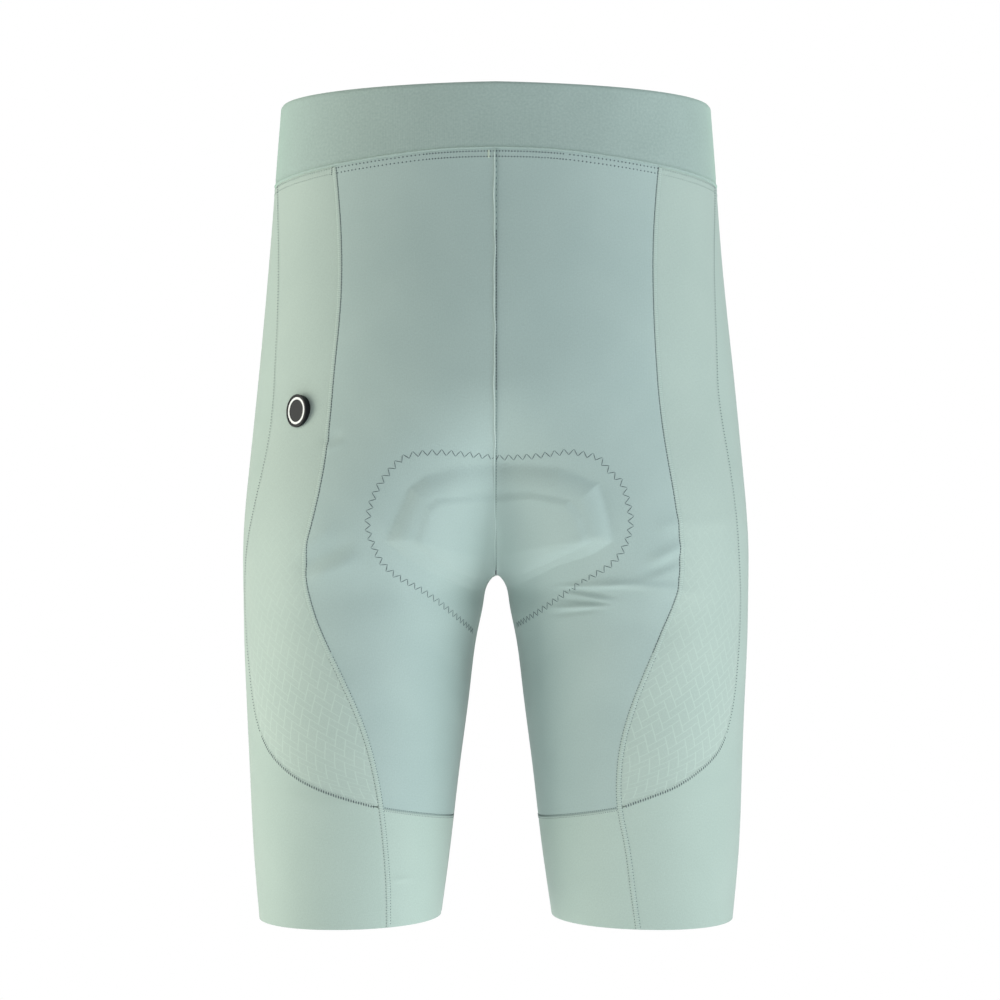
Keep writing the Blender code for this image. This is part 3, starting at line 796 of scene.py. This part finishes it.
# The figure fades out upwards, between these two heights in metres.
where = add(jacquard, "TexCoord").outputs["Object"]
height_of = add(jacquard, "SeparateXYZ", {"Vector": where}).outputs["Z"]
fading = add(
    jacquard,
    "MapRange",
    {"Value": height_of, "From Min": -0.34, "From Max": -0.23, "To Min": 0.6, "To Max": 0.08},
)
figure = add(
    jacquard, "Math", {0: drawn.outputs["Result"], 1: fading.outputs["Result"]}, operation="MULTIPLY"
)
figured = add(
    jacquard,
    "Mix",
    {"Factor": figure.outputs["Value"], "A": ground, "B": linear("#b5c8bc")},
    data_type="RGBA",
)
join(jacquard, figured.outputs["Result"], shader, "Base Color")

above_point = levels(2.2, SIDE_POINT + 1.4 * MM, PANEL_TOP)
for word, side in HALVES:
    points = patch(back_seam(word), front_seam(word), None, shares(62, 2.2), above_point, "side", side)
    lifts = beside(points, low=-2, top=-4)
    side_piece = panel(f"side_panel_{word}", points, jacquard, lifts)
    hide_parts(f"side_{word}")

# Front panels
# Each half of the front is one piece of the plain knit from the side seam to the middle of the
# belly. Below the side panel it wraps right round the leg to the seam behind the knee, and its raw
# edge is bonded at the hem.


def centre_front(height):
    return middle_angle(height, True)


# The same plain knit as the cuffs, lighter than the seat: wales 0.5 mm apart, drawn at 1.2 mm.
front_knit = knit_finish("front warp knit", "#a1b4aa", "#a9bbb1", 1.2 * MM)[0]

whole_leg = levels(2.5, HEM, PANEL_TOP)
for word, side in HALVES:
    points = patch(front_seam(word), centre_front, None, shares(200, 2.8), whole_leg, "front", side)
    lifts = beside(points, high=PRESSED[word], top=-4)
    front = panel(f"front_panel_{word}", points, front_knit, lifts)
    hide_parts(f"front_{word}")

# Cuffs
# The inner half of each leg end is a separate piece of power knit, firmer than the panels, with a
# fine slanting rib that grips the thigh. It is joined above in a dipping seam and behind in an
# upright one.

# Power knit: slanting ribs 0.8 mm apart, drawn at 1.5 mm so that they just show.
cuff_knit = knit_finish("ribbed power knit", "#a3b6ac", "#abbdb3", 1.5 * MM, lean=38)[0]

cuff_rows = levels(1.8, HEM, SIDE_POINT)[:, None]
share = shares(85, 1.9)
height = cuff_rows + cuff_dip(share)[None, :] * ease((cuff_rows - HEM) / (SIDE_POINT - HEM))
for word, side in HALVES:
    angle = between(centre_back, back_seam(word), height, share[None, :], "back")
    points = ring(height, angle) * np.array([side, 1, 1])
    lifts = beside(points, high=-2, top=1, low=-2)
    cuff = panel(f"cuff_piece_{word}", points, cuff_knit, lifts)
    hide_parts(f"cuff_{word}")

# Seams
# The panels are joined by flatlock seams: the edges meet, and looped threads bridge them in a flat
# band. Twin-needle rows hold the waistband seam, a ladder of short stitches runs along the front
# seam and the cuff seam, and a zigzag holds the pad. All are textured nylon thread.

FLATLOCK_WIDTH = 2.9 * MM
SEAM_STEP = 1.5 * MM
BELOW_BAND = 0.8 * MM
FLATTEST = 1.1

# Down to this height the flatlock threads lie close. From the next one the front seam has a ladder.
TIGHT_ROWS_FOOT = -320 * MM
LADDER_TOP = -372 * MM


def thread_like(name, dark, light):
    """Textured nylon thread: a dull surface with a faint twist."""
    finish, shader = new_finish(name)
    shader.inputs["Roughness"].default_value = 0.6
    shader.inputs["IOR"].default_value = 1.53
    shader.inputs["Sheen Weight"].default_value = 0.1
    where = add(finish, "TexCoord").outputs["Object"]
    twist = add(finish, "TexNoise", {"Vector": where, "Scale": 1500.0, "Detail": 2.0})
    tone = add(
        finish,
        "Mix",
        {"Factor": twist.outputs["Fac"], "A": linear(dark), "B": linear(light)},
        data_type="RGBA",
    )
    join(finish, tone.outputs["Result"], shader, "Base Color")
    return finish


# The thread is grey-blue and darker than the cloth. Some stitches hardly show, in thread of the
# colour of the cloth, and the tack in the middle is brighter.
thread_finish = thread_like("textured nylon thread", "#28343a", "#465459")
pale_thread = thread_like("pale textured nylon thread", "#869893", "#a3b4ac")
bright_thread = thread_like("bright textured nylon thread", "#b9c9b9", "#cddac8")

# One stitch, a millimetre long: a short swelling of thread whose ends dip into the cloth.
bpy.ops.object.select_all(action="DESELECT")
bpy.ops.mesh.primitive_uv_sphere_add(segments=6, ring_count=5, radius=0.5 * MM)
stitch = bpy.context.active_object
bpy.ops.object.mode_set(mode="EDIT")
bpy.ops.mesh.select_all(action="SELECT")
bpy.ops.transform.rotate(value=math.pi / 2, orient_axis="Y", center_override=(0, 0, 0))
bpy.ops.transform.resize(value=(1.0, 0.36, 0.30))
bpy.ops.object.mode_set(mode="OBJECT")
stitch_points = np.array([v.co for v in stitch.data.vertices])
stitch_points[:, 2] -= 0.12 * MM * (np.abs(stitch_points[:, 0]) / (0.5 * MM)) ** 2
stitch_faces = [np.array(face.vertices) for face in stitch.data.polygons]
bpy.data.objects.remove(stitch)


def seam_line(heights, angle, side):
    """Points and outward ways of a seam on the form, at even steps along it."""
    p = ring(heights, angle) * np.array([side, 1, 1])
    reach = np.concatenate([[0], np.cumsum(np.linalg.norm(np.diff(p, axis=0), axis=-1))])
    even = np.linspace(0, reach[-1], int(reach[-1] / SEAM_STEP))
    p = np.stack([np.interp(even, reach, p[:, i]) for i in range(3)], -1)
    return p, normals(p)


def below_band(p, out):
    """The part of a seam that lies below the waistband."""
    keep = p[:, 2] < band_seam(p) - BELOW_BAND
    return p[keep], out[keep]


def lay(p, out, aside, rise):
    """Moves a line aside along the cloth and onto its relief."""
    along = np.gradient(p, axis=0)
    across = np.cross(along, out)
    across /= np.linalg.norm(across, axis=-1, keepdims=True)
    moved = p + across * np.asarray(aside).reshape(-1, 1)
    return moved + out * (relief_of(moved, out) + rise)[..., None]


def sew(name, lines, finish, tall=0.0):
    """Stitches along lines, joined as one piece. A line is its points, its outward ways, and the
    stitches' pitch, length, width as a share of the model stitch, lean in degrees and place aside."""
    points = []
    faces = []
    count = 0
    for p, out, pitch, length, width, lean, aside in lines:
        flat = lay(p, out, aside, 0.1 * MM)
        reach = np.concatenate([[0], np.cumsum(np.linalg.norm(np.diff(flat, axis=0), axis=-1))])
        at = np.arange(pitch / 2, reach[-1], pitch)
        spots = np.stack([np.interp(at, reach, flat[:, i]) for i in range(3)], -1)
        up = np.stack([np.interp(at, reach, out[:, i]) for i in range(3)], -1)
        ahead = np.stack([np.interp(at, reach, np.gradient(flat[:, i])) for i in range(3)], -1)
        ahead -= (ahead * up).sum(-1, keepdims=True) * up
        ahead /= np.linalg.norm(ahead, axis=-1, keepdims=True)
        aside_way = np.cross(up, ahead)
        turn = np.radians(lean if np.ndim(lean) else np.full(len(at), lean))
        turn = np.resize(turn, len(at))[:, None]
        along = ahead * np.cos(turn) + aside_way * np.sin(turn)
        across = np.cross(up, along)
        sizes = (length / MM, width, tall or min(width, FLATTEST))
        for spot, *ways in zip(spots, along, across, up):
            a, b, c = (stitch_points[:, i : i + 1] * sizes[i] * ways[i] for i in range(3))
            points.append(spot + (a + b + c))
            faces.extend(face + count for face in stitch_faces)
            count += len(stitch_points)
    mesh = bpy.data.meshes.new(name)
    mesh.from_pydata(np.concatenate(points).tolist(), [], [face.tolist() for face in faces])
    mesh.update()
    mesh.shade_smooth()
    return place(name, mesh, finish)


def ribbon(name, p, out, width, rise, finish):
    """A flat band of looped thread over a seam, thickest along its middle."""
    across = np.linspace(-1, 1, 9)
    grid = np.stack([lay(p, out, width / 2 * spot * np.ones(len(p)), 0) for spot in across], 1)
    ways = np.repeat(out[:, None, :], len(across), 1)
    crown = rise * (1 - across**4) + 0.02 * MM
    outer = grid + ways * crown[None, :, None]
    return cloth(name, outer, ways, 0.5 * MM, finish)


# Flatlock band: paler threads looped across it every 1.3 mm, with a dark line of thread beside.
flatlock, shader = new_finish("flatlock seam threads")
shader.inputs["Roughness"].default_value = 0.7
shader.inputs["IOR"].default_value = 1.53
shader.inputs["Sheen Weight"].default_value = 0.15
thread = add(flatlock, "UVMap", uv_map="cloth").outputs["UV"]
waviness = {"Distortion": 3.0, "Detail": 2.0, "Detail Scale": 2.0}
loops = add(
    flatlock, "TexWave", {"Vector": thread, "Scale": WAVE / (1.3 * MM), **waviness}, bands_direction="Y"
)
tone = add(
    flatlock,
    "Mix",
    {"Factor": loops.outputs["Fac"], "A": linear("#98aba2"), "B": linear("#acbeb4")},
    data_type="RGBA",
)
join(flatlock, tone.outputs["Result"], shader, "Base Color")
bump = add(flatlock, "Bump", {"Height": loops.outputs["Fac"], "Strength": 0.3, "Distance": 0.2 * MM})
join(flatlock, bump.outputs["Normal"], shader, "Normal")

for word, side in HALVES:
    heights = np.linspace(-17, HEM / MM + 0.6, 420) * MM
    behind = back_seam(word)
    p, out = below_band(*seam_line(heights, behind(heights), side))
    ribbon(f"flatlock_band_{word}", p, out, FLATLOCK_WIDTH, 0.32 * MM, flatlock)
    edge = FLATLOCK_WIDTH / 2
    upper = p[:, 2] > TIGHT_ROWS_FOOT
    lower = ~upper
    rows = [
        (p[upper], out[upper], 1.75 * MM, 1.7 * MM, 1.6, np.array([14, -8, 20, -12, 4]), edge * side),
        (p[lower], out[lower], 1.9 * MM, 0.9 * MM, 1.3, np.array([30, -20, 10, -35]), edge * side),
        (p[lower], out[lower], 2.1 * MM, 0.9 * MM, 1.2, np.array([-25, 15, 35, -10, 5]), -edge * side),
    ]
    sew(f"flatlock_threads_{word}", rows, thread_finish)
    row = (p[upper], out[upper], 1.9 * MM, 1.1 * MM, 0.9, 90, -edge * side)
    sew(f"flatlock_loops_{word}", [row], pale_thread)

    before = front_seam(word)
    heights = np.linspace(-20, SIDE_POINT / MM + 1.0, 420) * MM
    p, out = below_band(*seam_line(heights, before(heights), side))
    curve = p[:, 2] < LADDER_TOP
    row = (p[~curve], out[~curve], 1.9 * MM, 1.5 * MM, 1.4, 90, 0.0)
    sew(f"front_seam_stitches_{word}", [row], thread_finish, tall=3.0)
    # On the curve the dark slanted stitches are the ladder's thread and also the painted shade in the
    # gaps between its threads.
    row = (p[curve], out[curve], 1.62 * MM, 2.1 * MM, 1.7, 75 * side, 0.0)
    sew(f"front_seam_ladder_and_shade_{word}", [row], thread_finish)
    row = (p, out, 1.62 * MM, 1.0 * MM, 1.1, 75 * side, 1.5 * MM * side)
    sew(f"front_seam_second_row_{word}", [row], pale_thread)

    share = np.linspace(0.0, 0.985, 90)
    height = SIDE_POINT + cuff_dip(share)
    p, out = seam_line(height, between(centre_back, behind, height, share, "back"), side)
    rows = [
        (p, out, 1.45 * MM, 0.8 * MM, 1.0, 0, 1.0 * MM),
        (p, out, 1.45 * MM, 0.8 * MM, 1.0, 0, -1.0 * MM),
    ]
    sew(f"cuff_seam_stitches_{word}", rows, thread_finish)
    row = (p, out, 1.45 * MM, 1.7 * MM, 1.4, 90, 0.0)
    sew(f"cuff_seam_ladder_{word}", [row], pale_thread)

# The twin-needle rows under the waistband: closer stitches in the middle, and in the colour of the
# cloth beyond the seat
TIGHT_WITHIN = 24
SEAT_WITHIN = 53.5
turn = np.linspace(-180, 180, 720)
foot = smooth(np.abs(turn), BAND_FOOT["turn"], BAND_FOOT["height"] * MM)
ahead = np.abs(turn) >= SEAT_WITHIN
for name, shown, pitch, finish in (
    ("middle", np.abs(turn) < TIGHT_WITHIN, 1.85, thread_finish),
    ("left", (turn <= -TIGHT_WITHIN) & ~ahead, 2.6, thread_finish),
    ("right", (turn >= TIGHT_WITHIN) & ~ahead, 2.6, thread_finish),
    ("front", ahead, 2.02, pale_thread),
):
    order = np.argsort(turn[shown] % 360 if name == "front" else turn[shown])
    rows = []
    for drop in (1.7, 5.0):
        p = trunk_point(turn[shown][order], foot[shown][order] - drop * MM)
        rows.append((p, normals(p), pitch * MM, 0.85 * MM, 2.5, 0, 0.0))
    sew(f"waistband_twin_{name}", rows, finish)

# The middle seam, folded to the left. To the right of the fold a line of dark thread stitches is painted
# shade, the fold's shadow: here and there at the top, then closely, and thinly over the pad. At the
# crotch a short thick run of them is the painted shadow of the fold's end.
heights = np.linspace(PANEL_TOP / MM, CROTCH / MM - 1, 200) * MM
p, out = below_band(*seam_line(heights, centre_back(heights), 1))
wander = 0.6 + 0.25 * np.sin(p[:, 2] / (9 * MM)) + 0.2 * np.sin(p[:, 2] / (3.7 * MM))

# The seat knit again, folded over and pressed. Its edge is paler than its face: a painted highlight, the
# light caught on the fold's left slope.
fold_painted_highlight = knit_finish("warp knit with painted highlight", "#b4c8c2", "#bfd1cb", 1.2 * MM)[0]
width = (0.9 - 0.5 * ease((-185 * MM - p[:, 2]) / (40 * MM))) * MM
folded = p - np.array([1, 0, 0]) * (wander * MM)[:, None]
# The fold's paler finish is a painted highlight.
ribbon("middle_seam_fold", folded, out, width, 0.6 * MM, fold_painted_highlight)
# The rows of dark stitches below are painted shade along the fold's right side.
upper = p[:, 2] > -62 * MM
lower = p[:, 2] < -160 * MM
along = ~upper & ~lower
rows = [
    (p[upper], out[upper], 3.6 * MM, 1.4 * MM, 0.9, 0, -0.35 * MM),
    (p[along], out[along], 1.9 * MM, 1.9 * MM, 1.4, 0, -0.35 * MM),
    (p[lower], out[lower], 1.9 * MM, 1.6 * MM, 0.7, 0, -0.3 * MM),
]
sew("middle_seam_painted_shade", rows, thread_finish)
# A short thick run of dark stitches at the crotch is the painted shadow of the seam fold's end.
tack = p[:, 2] < p[-1, 2] + 5.5 * MM
sew("crotch_painted_shadow", [(p[tack], out[tack], 0.8 * MM, 1.1 * MM, 3.0, 0, 0.0)], thread_finish)

# Two small bar tacks that lock the ends of the twin rows
for name, turn_at, foot_at, pitch, length, finish in (
    ("middle", -2.4, -14.0, 0.6, 1.5, bright_thread),
    ("side", -53.7, -20.6, 1.1, 1.0, thread_finish),
):
    p = trunk_point(np.full(9, turn_at), np.linspace(foot_at, foot_at - 5.0, 9) * MM)
    row = (p, normals(p), pitch * MM, length * MM, 1.6, 90, 0.0)
    sew(f"bar_tack_{name}", [row], finish, tall=3.0)

# The zigzag round the pad, by ring height and angle from the middle of the back to the crotch
ZIGZAG = {
    "left": table(
        "height angle",
        *((-176.8, -39.8), (-181, -28), (-184, -22), (-187, -18), (-193, -13), (-201, -10)),
        *((-211, -7), (-221, -5), (-230, -4), (-240, -4), (-248, -6), (-256, -9.5)),
        *((-261, -15), (-263.5, -24), (-267, -35), (-273, -48), (-282, -73)),
    ),
    "right": table(
        "height angle",
        *((-176.8, -39.8), (-182, -29), (-184, -23), (-185.5, -19), (-190, -14), (-195, -10)),
        *((-204, -7), (-213, -3.5), (-224, -2), (-234, -1.2), (-244, -2), (-251, -4.2)),
        *((-257, -8), (-260, -14), (-262, -21), (-265, -30), (-268, -37), (-272, -49)),
        (-277, -74),
    ),
}
ZIGZAG_PITCH = 5.7 * MM
ZIGZAG_HEIGHT = 3.9 * MM
for word, side in HALVES:
    marks = ring(ZIGZAG[word]["height"] * MM, ZIGZAG[word]["angle"])
    reach = np.concatenate([[0], np.cumsum(np.linalg.norm(np.diff(marks, axis=0), axis=-1))])
    even = np.linspace(0, reach[-1], 200)
    heights, angles = (smooth(even, reach, ZIGZAG[word][name]) for name in ("height", "angle"))
    p, out = seam_line(heights * MM, angles, side)
    lean = math.degrees(math.atan2(ZIGZAG_HEIGHT, ZIGZAG_PITCH / 2))
    length = math.hypot(ZIGZAG_HEIGHT, ZIGZAG_PITCH / 2)
    rows = [(p, out, ZIGZAG_PITCH / 2, length, 0.95, np.array([lean, -lean]), 0.0)]
    sew(f"pad_zigzag_{word}", rows, thread_finish)

# Pad
# A chamois pad of moulded foam under brushed microfibre is sewn inside the seat. It thins to its
# edge and has a long channel down its middle.

pad_node = bpy.data.objects["chamois_pad"]
shape = bmesh.new()
shape.from_mesh(pad_node.data)
bmesh.ops.remove_doubles(shape, verts=shape.verts, dist=0.01 * MM)
mesh = bpy.data.meshes.new("chamois_insert")
shape.to_mesh(mesh)
shape.free()
mesh.materials.clear()

# Brushed microfibre: deep matt nap over foam, pricked with small air holes 4 mm apart. The holes are not
# modelled; their darker spots in the colour are painted shade.
microfibre, shader = new_finish("brushed microfibre foam")
shader.inputs["Roughness"].default_value = 0.9
shader.inputs["Sheen Weight"].default_value = 0.3
where = add(microfibre, "TexCoord").outputs["Object"]
nap = add(microfibre, "TexNoise", {"Vector": where, "Scale": 700.0, "Detail": 4.0})
holes = add(microfibre, "TexVoronoi", {"Vector": where, "Scale": 250.0, "Randomness": 0.0})
edges = {"From Min": 0.15, "From Max": 0.25, "To Min": 0.6, "To Max": 1.0}
# Darker spots at the holes: painted shade.
hole_painted_shade = add(microfibre, "MapRange", {"Value": holes.outputs["Distance"], **edges})
tone = add(
    microfibre,
    "Mix",
    {"Factor": nap.outputs["Fac"], "A": linear("#6f7f7c"), "B": linear("#8b9a96")},
    data_type="RGBA",
)
shade = add(
    microfibre,
    "Mix",
    {"Factor": 1.0, "A": tone.outputs["Result"], "B": hole_painted_shade.outputs["Result"]},
    data_type="RGBA",
    blend_type="MULTIPLY",
)
join(microfibre, shade.outputs["Result"], shader, "Base Color")
bump = add(microfibre, "Bump", {"Height": nap.outputs["Fac"], "Strength": 0.4, "Distance": 0.3 * MM})
join(microfibre, bump.outputs["Normal"], shader, "Normal")

pad = place("chamois_insert", mesh, microfibre)
bpy.ops.object.select_all(action="DESELECT")
bpy.context.view_layer.objects.active = pad
pad.select_set(True)
finer = pad.modifiers.new("finer", "SUBSURF")
finer.levels = finer.render_levels = 2
bpy.ops.object.modifier_apply(modifier="finer")
soften(pad)
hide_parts("chamois_pad")

# Badge
# A small round badge of moulded rubber is bonded to the left side panel. Its rim stands up, and
# its face carries one plain ring.

BADGE_RING = -185 * MM
BADGE_ANGLE = 30.4
BADGE_RADIUS = 10.0 * MM
BADGE_THICK = 2.4 * MM
BADGE_LEAN_RIGHT = 0.08
BADGE_LEAN_UP = 0.13

# The insets of its top face and how far the middle then rises: rim, dish and the raised ring
BADGE_STEPS = ((0.3, 0.2), (0.8, 0.0), (0.3, -0.35), (0.2, 0.0), (0.15, 0.12), (1.4, 0.0), (0.15, -0.12))
RING_INSIDE = 6.9
RING_OUTSIDE = 8.2

# Moulded silicone rubber: dense near-black with a satin face.
rubber, shader = new_finish("moulded rubber")
shader.inputs["Roughness"].default_value = 0.5
shader.inputs["IOR"].default_value = 1.43
shader.inputs["Specular IOR Level"].default_value = 0.3
where = add(rubber, "TexCoord").outputs["Object"]
mottle = add(rubber, "TexNoise", {"Vector": where, "Scale": 900.0, "Detail": 2.0})
tone = add(
    rubber,
    "Mix",
    {"Factor": mottle.outputs["Fac"], "A": linear("#0c0e11"), "B": linear("#14171b")},
    data_type="RGBA",
)
join(rubber, tone.outputs["Result"], shader, "Base Color")
bump = add(rubber, "Bump", {"Height": mottle.outputs["Fac"], "Strength": 0.15, "Distance": 0.05 * MM})
join(rubber, bump.outputs["Normal"], shader, "Normal")

# White silicone ink, printed on the rubber.
ink, shader = new_finish("white silicone ink")
shader.inputs["Roughness"].default_value = 0.55
shader.inputs["IOR"].default_value = 1.43
where = add(ink, "TexCoord").outputs["Object"]
mottle = add(ink, "TexNoise", {"Vector": where, "Scale": 1200.0})
tone = add(
    ink,
    "Mix",
    {"Factor": mottle.outputs["Fac"], "A": linear("#d5dad6"), "B": linear("#eef0ec")},
    data_type="RGBA",
)
join(ink, tone.outputs["Result"], shader, "Base Color")

centre = ring(BADGE_RING, BADGE_ANGLE) * np.array([-1, 1, 1])
out = normals(centre)
bpy.ops.object.select_all(action="DESELECT")
bpy.ops.mesh.primitive_cylinder_add(
    vertices=72, radius=BADGE_RADIUS, depth=BADGE_THICK, location=(0, 0, BADGE_THICK / 2)
)
badge = bpy.context.active_object
bpy.ops.object.transform_apply(location=True)
bpy.ops.object.mode_set(mode="EDIT")
bpy.ops.mesh.select_mode(type="FACE")


def pick_top():
    """Selects only the round face on top."""
    bpy.ops.mesh.select_all(action="DESELECT")
    shape = bmesh.from_edit_mesh(badge.data)
    shape.faces.ensure_lookup_table()
    top = max((f for f in shape.faces if len(f.verts) > 8), key=lambda f: f.calc_center_median().z)
    top.select = True
    bmesh.update_edit_mesh(badge.data)


for inset_by, lift in BADGE_STEPS:
    pick_top()
    bpy.ops.mesh.inset(thickness=inset_by * MM, depth=0)
    bpy.ops.transform.translate(value=(0, 0, lift * MM))
bpy.ops.object.mode_set(mode="OBJECT")
badge.name = "rubber_badge"
mesh = badge.data
mesh.name = "rubber_badge"
mesh.materials.append(rubber)
mesh.materials.append(ink)
for face in mesh.polygons:
    middle = face.center
    reach = math.hypot(middle.x, middle.y) / MM
    on_ring = RING_INSIDE < reach < RING_OUTSIDE and face.normal.z > 0.9 and len(face.vertices) == 4
    face.material_index = int(on_ring)

# The disc leans: its upper part is sheared, and its underside is fitted to the cloth further down.
for vertex in mesh.vertices:
    if vertex.co.z > 0.5 * MM:
        vertex.co.z += BADGE_LEAN_RIGHT * vertex.co.x + BADGE_LEAN_UP * vertex.co.y
across = Vector(np.cross([0, 0, 1], out)).normalized()
up = Vector(out).cross(across)
turned = Matrix((across, up, Vector(out))).transposed().to_4x4()
mesh.transform(Matrix.Translation(Vector(centre)) @ turned)
for vertex in mesh.vertices:
    flat = np.array(vertex.co)
    fall = (flat - centre) @ out
    if abs(fall) < 0.1 * MM:
        vertex.co = flat - out * (body(flat) - 0.2 * MM)
mesh.update()
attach(badge, "root")
soften(badge, 35)
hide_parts("badge")

# Room
# A pale floor well below the tights throws light up, and the camera sees only the white dome round
# it all. Long soft boxes light the flanks more than the middle of the back. Weak fills light the
# seat, the hems and the gap between the legs.

FLOOR = -1.6

paper, shader = new_finish("white background paper")
shader.inputs["Roughness"].default_value = 0.9
shader.inputs["Base Color"].default_value = linear("#f7f7f7")
shader.inputs["Emission Color"].default_value = (1, 1, 1, 1)
shader.inputs["Emission Strength"].default_value = 0.62

bpy.ops.object.select_all(action="DESELECT")
bpy.ops.mesh.primitive_circle_add(vertices=64, radius=9.0, fill_type="NGON", location=(0, 0, FLOOR))
floor = bpy.context.active_object
floor.name = "floor"
floor.data.materials.append(paper)
floor.visible_camera = False

white, shader = new_finish("white studio wall")
shader.inputs["Base Color"].default_value = linear("#000000")
shader.inputs["Specular IOR Level"].default_value = 0
shader.inputs["Emission Color"].default_value = (1, 1, 1, 1)
shader.inputs["Emission Strength"].default_value = 1.0
bpy.ops.mesh.primitive_uv_sphere_add(segments=48, ring_count=24, radius=8.0)
dome = bpy.context.active_object
dome.name = "studio_wall"
dome.data.materials.append(white)
dome.visible_diffuse = dome.visible_glossy = dome.visible_transmission = dome.visible_shadow = False

world = bpy.data.worlds.new("studio")
bpy.context.scene.world = world
world.use_nodes = True
world.node_tree.nodes["Background"].inputs["Color"].default_value = (1, 1, 1, 1)
world.node_tree.nodes["Background"].inputs["Strength"].default_value = 0.26


def soft_light(name, spot, aim, size, power, colour):
    """A large soft box that points at a place."""
    data = bpy.data.lights.new(name, "AREA")
    data.shape = "RECTANGLE"
    data.size, data.size_y = size
    data.energy = power
    data.color = linear(colour)[:3]
    lamp = bpy.data.objects.new(name, data)
    bpy.context.scene.collection.objects.link(lamp)
    lamp.location = spot
    lamp.rotation_euler = (Vector(aim) - Vector(spot)).to_track_quat("-Z", "Y").to_euler()


soft_light("left_box", (-1.7, -0.15, -0.1), (0, 0, -0.25), (1.0, 1.6), 25, "#fffdf2")
soft_light("right_box", (1.6, -0.75, -0.1), (0, 0, -0.25), (0.9, 1.6), 22, "#f0f8ff")
soft_light("front_fill", (0.3, -2.3, -0.4), (0, 0, -0.3), (1.2, 0.6), 6.5, "#eaf6ff")
soft_light("low_fill", (0.2, -0.9, -1.3), (0, -0.05, -0.35), (0.8, 0.8), 0.5, "#f0f9ff")
soft_light("inner_fill", (0, -0.02, -0.78), (0, -0.02, -0.25), (0.06, 0.14), 0.45, "#f0f9ff")

camera = bpy.data.objects.new("camera", bpy.data.cameras.new("camera"))
bpy.context.scene.collection.objects.link(camera)
camera.location = (0.0026, -1.6, -0.22575)
camera.rotation_euler = (math.pi / 2, 0, 0)
camera.data.lens = 89.30
camera.data.sensor_width = 36
bpy.context.scene.camera = camera
bpy.context.scene.view_settings.view_transform = "Standard"
